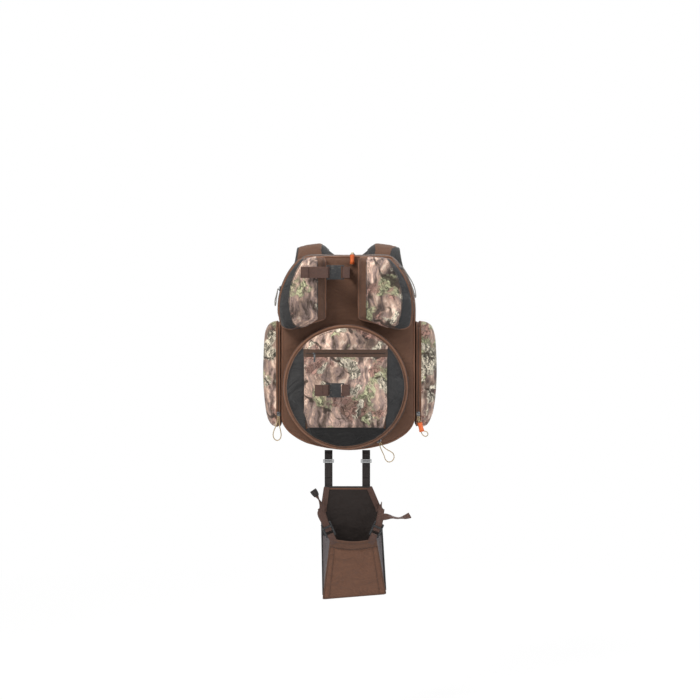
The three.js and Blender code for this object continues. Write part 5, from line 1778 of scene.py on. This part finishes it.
def between(points, share):
    """A place along a list of (share, x, z)."""
    for a, b in zip(points, points[1:]):
        if share <= b[0]:
            t = (share - a[0]) / (b[0] - a[0])
            return a[1] + (b[1] - a[1]) * t, a[2] + (b[2] - a[2]) * t
    return points[-1][1], points[-1][2]


def ripple(x, z, scale, seed):
    """A wave of about the given size in millimetres, from -1 to 1."""
    return noise.noise(Vector((x / scale, z / scale, seed)))


class BACKPACK_OT_boot(bpy.types.Operator):
    """Sew the boot that hangs below the pack"""

    bl_idname = "backpack.boot"
    bl_label = "Boot"

    def execute(self, context):
        self.rear()
        self.front()
        self.gusset()
        self.hangers()
        for name, side in SIDES.items():
            self.lip(name)
            self.tab(name, side)
            self.tail(name, side)
        return {"FINISHED"}

    def sheet(self, name, rows, material, thickness, replaces=()):
        piece = make_piece(name, grid(rows), material, "boot", replaces=replaces, mapped=True)
        thickened(piece, thickness * MM)
        refined(piece)

    def rear(self):
        left = [(0, -58, -84), (0.2, -65, -134), (1, -62, -338)]
        right = [(0, 49, -84), (0.2, 70, -134), (1, 82, -326)]
        rows = []
        for i in range(49):
            a, b = between(left, i / 48), between(right, i / 48)
            row = []
            for k in range(33):
                s = k / 32
                x, z = a[0] + (b[0] - a[0]) * s, a[1] + (b[1] - a[1]) * s
                bow = math.sin(math.pi * s) * math.sin(math.pi * i / 48)
                y = rear_y(z) + 0.6 * bow + 0.9 * bow * ripple(x, z, 38, 3)
                row.append(at(x, y, z))
            rows.append(row)
        self.sheet("boot_back_cloth", rows, "boot", 2.8, "boot_rear_panel")
        # a dark sheet over the inside face of the rear panel: partly a lining and partly painted shade inside the boot
        lining = [shifted(row[1:-1], 0.0016) for row in rows[1:-1]]
        self.sheet("boot_shade_lining", lining, "dark", 0.8)
        rim = [row[0] for row in rows[::-1]] + rows[0][1:-1] + [row[-1] for row in rows]
        tube("boot_back_binding", evenly(rim), 0.0042, "binding", "boot")
        stitches("boot_back_stitches", [shifted([row[k] for row in rows], 0.0026) for k in (2, -3)], "boot")
        for name, side in SIDES.items():
            edge = [row[0 if side < 0 else -1] for row in rows]
            path = evenly(shifted(shifted(edge[9:], -side * 0.0032, RIGHT), 0.0006))
            strip("boot_" + name + "_edge", path, RIGHT, 8.5, "binding", "boot", thickness=4.4)
            slant = shifted(shifted(edge[:12], -side * 0.005, RIGHT), 0.0028)
            strip("boot_" + name + "_edge_web", evenly(slant), RIGHT, 13, "webbing", "boot")

    def front(self):
        rows = []
        for i in range(41):
            t = i / 40
            row = []
            for k in range(33):
                s = k / 32
                top_x, top_z = -43 + 101 * s, -198 - 4 * 8 * s * (1 - s)
                low_x, low_z = -61 + 142 * s, -338 + 12 * s
                x, z = top_x + (low_x - top_x) * t, top_z + (low_z - top_z) * t
                swell = math.sin(math.pi * s) * math.sin(math.pi * min(t * 1.1, 1))
                along, off = 0.8 * x - 0.6 * z, 0.6 * x + 0.8 * z
                fold = 2.6 * ripple(0.4 * along, off, 15, 7) + 2.0 * ripple(x, 0.6 * z, 26, 2)
                y = front_y(z) - 3.2 * swell + fold * min(1, 2.2 * swell)
                row.append(at(x, y, z))
            rows.append(row)
        self.sheet("boot_front_cloth", rows, "boot", 2.4, "boot_front_panel")
        # the hem, its roll and the front's seams and binding take the darker hem cloth: painted shade
        self.sheet("boot_hem", [shifted(row, 0.0024) for row in rows[:6]], "hem", 2.6)
        tube("boot_mouth_roll", evenly(shifted(rows[0], 0.001)), 0.0062, "hem", "boot")
        stitches("boot_hem_stitches", [shifted(rows[k], 0.004) for k in (5, 1)], "boot")
        for name, k in (("left", 3), ("right", -4)):
            seam = shifted([row[k] for row in rows[6:-1]], 0.0012)
            tube("boot_front_" + name + "_seam", evenly(seam), 0.0022, "hem", "boot")
        rim = [row[0] for row in rows] + rows[-1][1:-1] + [row[-1] for row in rows[::-1]]
        tube("boot_front_binding", evenly(rim), 0.0046, "hem", "boot")

    def gusset(self):
        rims = []
        for corners in (
            [(-44, -196), (-60.5, -336), (80, -324.5), (58.5, -196)],
            [(-62.5, -196), (-60, -335), (79, -323.5), (72, -196)],
        ):
            path = []
            for a, b in zip(corners, corners[1:]):
                path += [Vector((*a, 0)).lerp(Vector((*b, 0)), i / 24) for i in range(24)]
            rims.append(eased(path + [Vector((*corners[-1], 0))], 2))
        rows = []
        for i, (p, q) in enumerate(zip(*rims)):
            z = p.y
            near, far = front_y(z) + 2.0, rear_y(z) - 2.0
            tangent = heading(rims[0], i)
            inward = Vector((-tangent.y, tangent.x, 0))
            row = []
            for k in range(13):
                s = k / 12
                fold = 3.6 * math.sin(math.pi * s) * (0.5 + 0.5 * ripple(p.x + 40 * s, z, 26, 11))
                spot = p.lerp(q, s) + inward * fold
                row.append(at(spot.x, near + (far - near) * s, spot.y))
            rows.append(row)
        self.sheet("boot_gusset_cloth", rows, "grey", 2.0, "boot_gusset")
        for label, k in (("front", 0), ("back", 12)):
            tube("boot_gusset_" + label + "_piping", [row[k] for row in rows], 0.003, "binding", "boot")

    def hangers(self):
        for name, x in (("left", -49), ("right", 37)):
            line = [(-118, 1.0), (-118, -60), (-118.4, -74), (-115.6, -84)]
            line += [(rear_y(z) + 2.8, z) for z in (-98, -106)]
            path = eased(side_line(x, line, 0.003), 2)
            replaces = "boot_hanger" if name == "left" else ()
            strip("boot_" + name + "_hanger", path, RIGHT, 18, "dark_webbing", "boot", replaces=replaces)
            back = side_line(x, [(-119.9, -6), (-120.1, -24), (-119.9, -62)], 0.003)
            strip("boot_" + name + "_hanger_return", back, RIGHT, 18, "dark_webbing", "boot")
            make_piece("boot_" + name + "_slide", put(ladder(25, 8, 2.6, 2.0), at(x, -121.6, -28)), "steel", "boot")
            cross = [at(x + u, -121.2, z) for u, z in ((-7, -50), (7, -58), (7, -50), (-7, -58), (-7, -50))]
            stitches("boot_" + name + "_hanger_tack", [cross], "boot")

    def on_lock(self, name, x, y, z):
        turn = SIDES[name] * LOCK_TILT
        return at(
            LOCK_X[name] + x * math.cos(turn) + z * math.sin(turn),
            MOUTH[1] + y,
            LOCK_Z - x * math.sin(turn) + z * math.cos(turn),
        )

    def across_lock(self, side):
        return Vector((math.cos(LOCK_TILT), 0, -side * math.sin(LOCK_TILT)))

    def lip(self, name):
        """The lifted bar across the front of a ladder lock, on a short leg at each end."""
        bm = bmesh.new()
        out = -LOCK_WRAP - 2.4
        for low, high in (
            ((-11, out - 1.2, 19.5), (11, out + 1.2, 24)),
            ((-11, out, 20), (-8.6, 0, 23.5)),
            ((8.6, out, 20), (11, 0, 23.5)),
        ):
            for v in bmesh.ops.create_cube(bm, size=1)["verts"]:
                x, y, z = ((a + b) / 2 + c * (b - a) for a, b, c in zip(low, high, v.co))
                v.co = self.on_lock(name, x, y, z)
        round_edges(bm, 0.0007)
        make_piece("boot_" + name + "_lip", bm, "gloss", "boot")

    def tab(self, name, side):
        line = [(-1.6, -20), (-2.6, -12)] + arc(0, 0, -LOCK_WRAP, LOCK_WRAP, 0, math.pi, 10) + [(2.6, -12), (1.6, -18)]
        path = eased(evenly([self.on_lock(name, 0, y, z) for y, z in line], 0.0015), 2)
        strip("boot_" + name + "_tab", path, self.across_lock(side), 15, "webbing", "boot", thickness=1.5)

    def tail(self, name, side):
        hip_x = (70 if side > 0 else -65) + side * 1.9
        hip = rear_y(-134)
        held = [at(hip_x, hip + 2, -126), at(hip_x, hip - 15, -131), self.on_lock(name, 0, LOCK_WRAP, 30)]
        first = spline(held, 20)
        turn = [self.on_lock(name, 0, y, z) for y, z in arc(0, 15, LOCK_WRAP, LOCK_WRAP, 0, -math.pi, 10)]
        out = [self.on_lock(name, 0, -LOCK_WRAP, 30)] + [at(*p) for p in FREE_TAILS[name]]
        last = spline(out, 30)
        path = eased(evenly(first + turn + last, 0.002), 3)
        across = self.across_lock(side)

        def turned(y, z):
            return Vector((0, -side * y, -side * z)).normalized()

        lengths = run_lengths(path)
        reach_in, reach_out = run_lengths(first)[-1], run_lengths(last)[-1]
        wide = []
        for s in lengths:
            if s < reach_in:
                share = (s / reach_in) ** 2
                wide.append(turned(1, 1).lerp(across, share))
            else:
                share = max((s - (lengths[-1] - reach_out)) / reach_out, 0) ** 2
                ends = [across, turned(1, 0), turned(1, 1) if side > 0 else across]
                step = min(int(share * 2), 1)
                wide.append(ends[step].lerp(ends[step + 1], share * 2 - step))
        replaces = "boot_" + name + "_tail"
        strip("boot_" + name + "_tail_web", path, wide, 15, "webbing", "boot", thickness=1.8, replaces=replaces)
        finish, thickness = ("dark_webbing", 5.2) if side < 0 else ("webbing", 3.6)
        strip("boot_" + name + "_tail_fold", path[-9:], wide[-9:], 15.8, finish, "boot", thickness=thickness)


# ---------------- stage

DISTANCE = 4.0  # camera to the pack's front
PHOTO_SCALE = 2.25  # millimetres of the front to a pixel of the photograph
PHOTO_SIDE = 700
ELEVATION = 2.0


def seen_rays(tree):
    """1 for a ray that comes straight from the camera, or off or through something, and 0 for one that lights."""
    rays = add_node(tree, "LightPath").outputs
    beyond = {0: rays["Is Glossy Ray"], 1: rays["Is Transmission Ray"]}
    beyond = add_node(tree, "Math", beyond, 0, operation="MAXIMUM")
    return add_node(tree, "Math", {0: rays["Is Camera Ray"], 1: beyond}, 0, operation="MAXIMUM")


class BACKPACK_OT_stage(bpy.types.Operator):
    """Place the camera, the lamps and the pale floor"""

    bl_idname = "backpack.stage"
    bl_label = "Stage"

    def execute(self, context):
        self.camera(context.scene)
        self.lamps(context.scene)
        self.floor()
        context.scene.view_settings.view_transform = "Standard"
        return {"FINISHED"}

    def camera(self, scene):
        data = bpy.data.cameras.new("camera")
        holder = bpy.data.objects.new("camera", data)
        scene.collection.objects.link(holder)
        target = at(0, -175, (453 - PHOTO_SIDE / 2) * PHOTO_SCALE)
        angle = math.radians(ELEVATION)
        offset = Vector((0, -math.cos(angle), math.sin(angle))) * DISTANCE
        holder.location = target + offset
        holder.rotation_euler = (-offset).to_track_quat("-Z", "Y").to_euler()
        data.sensor_width = 36
        data.lens = 36 * DISTANCE / (PHOTO_SIDE * PHOTO_SCALE * MM)
        data.clip_end = 50
        scene.camera = holder

    def lamps(self, scene):
        for name, place, power, size, tint in (
            ("key lamp", (-1.7, -2.1, 2.0), 92, 1.3, "#fffaf4"),
            ("fill lamp", (2.1, -1.9, 0.5), 26, 2.0, "#f6f9ff"),
            ("top lamp", (0.3, -0.1, 2.2), 34, 1.2, "#ffffff"),
            ("back lamp", (0.8, 2.2, 0.8), 26, 2.0, "#ffffff"),
        ):
            light = bpy.data.lights.new(name, "AREA")
            light.energy = power
            light.size = size
            light.color = srgb(tint)
            lamp = bpy.data.objects.new(name, light)
            lamp.location = place
            aim = at(0, -60, 150) - Vector(place)
            lamp.rotation_euler = aim.to_track_quat("-Z", "Y").to_euler()
            scene.collection.objects.link(lamp)
        world = bpy.data.worlds.new("studio")
        world.use_nodes = True
        tree = world.node_tree
        tree.nodes.clear()
        lit, white = (add_node(tree, "Background", {"Color": (1, 1, 1), "Strength": s}, 0) for s in (0.4, 1.0))
        both = add_node(tree, "MixShader", {0: seen_rays(tree), 1: lit, 2: white}, 0)
        add_node(tree, "OutputWorld", {"Surface": both})
        scene.world = world

    def floor(self):
        bm = bmesh.new()
        bmesh.ops.create_grid(bm, x_segments=1, y_segments=1, size=12)
        bmesh.ops.translate(bm, vec=(0, 0, at(0, 0, -620).z), verts=bm.verts)
        mesh = bpy.data.meshes.new("floor")
        bm.to_mesh(mesh)
        bm.free()
        material, tree, shader = new_material("pale floor")
        feed(tree, shader, {"Base Color": (0.9, 0.9, 0.9), "Roughness": 0.8})
        glow = add_node(tree, "Emission", {"Color": (1, 1, 1), "Strength": 1.0}, 0)
        away = add_node(tree, "VectorMath", {0: object_coordinates(tree)}, "Value", operation="LENGTH")
        share = add_node(tree, "Math", {0: away, 1: 0.3}, 0, operation="MULTIPLY")
        white = add_node(tree, "ValToRGB", {0: share}, 0, [(0.2, 0.8), (0.75, 1)])
        share = add_node(tree, "Math", {0: seen_rays(tree), 1: white}, 0, operation="MULTIPLY")
        both = add_node(tree, "MixShader", {0: share, 1: shader.outputs[0], 2: glow}, 0)
        out = next(n for n in tree.nodes if n.type == "OUTPUT_MATERIAL")
        feed(tree, out, {"Surface": both})
        mesh.materials.append(material)
        floor = bpy.data.objects.new("floor", mesh)
        bpy.context.scene.collection.objects.link(floor)


# ---------------- add-on


class BACKPACK_PT_panel(bpy.types.Panel):
    """Lists the steps that make the backpack"""

    bl_idname = "BACKPACK_PT_panel"
    bl_label = "Hunting Backpack"
    bl_space_type = "VIEW_3D"
    bl_region_type = "UI"
    bl_category = "Backpack"

    def draw(self, context):
        layout = self.layout
        for group in (context.scene.backpack_colours, context.scene.backpack_sizes):
            for key in group.__annotations__:
                layout.prop(group, key)
        for step in STEPS:
            layout.operator(step.bl_idname)


STEPS = (
    BACKPACK_OT_stage,
    BACKPACK_OT_finishes,
    BACKPACK_OT_pulls,
    BACKPACK_OT_bag,
    BACKPACK_OT_pockets,
    BACKPACK_OT_pads,
    BACKPACK_OT_swell,
    BACKPACK_OT_panels,
    BACKPACK_OT_zips,
    BACKPACK_OT_hardware,
    BACKPACK_OT_shoulder_straps,
    BACKPACK_OT_webbing,
    BACKPACK_OT_retaining_straps,
    BACKPACK_OT_sternum,
    BACKPACK_OT_boot,
)
CLASSES = (BACKPACK_PG_colours, BACKPACK_PG_sizes, *STEPS, BACKPACK_PT_panel)


def register():
    for one in CLASSES:
        bpy.utils.register_class(one)
    bpy.types.Scene.backpack_colours = PointerProperty(type=BACKPACK_PG_colours)
    bpy.types.Scene.backpack_sizes = PointerProperty(type=BACKPACK_PG_sizes)


def unregister():
    del bpy.types.Scene.backpack_sizes
    del bpy.types.Scene.backpack_colours
    for one in reversed(CLASSES):
        bpy.utils.unregister_class(one)


def main():
    register()
    for step in STEPS:
        group, name = step.bl_idname.split(".")
        getattr(getattr(bpy.ops, group), name)()
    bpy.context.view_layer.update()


if __name__ == "__main__":
    main()
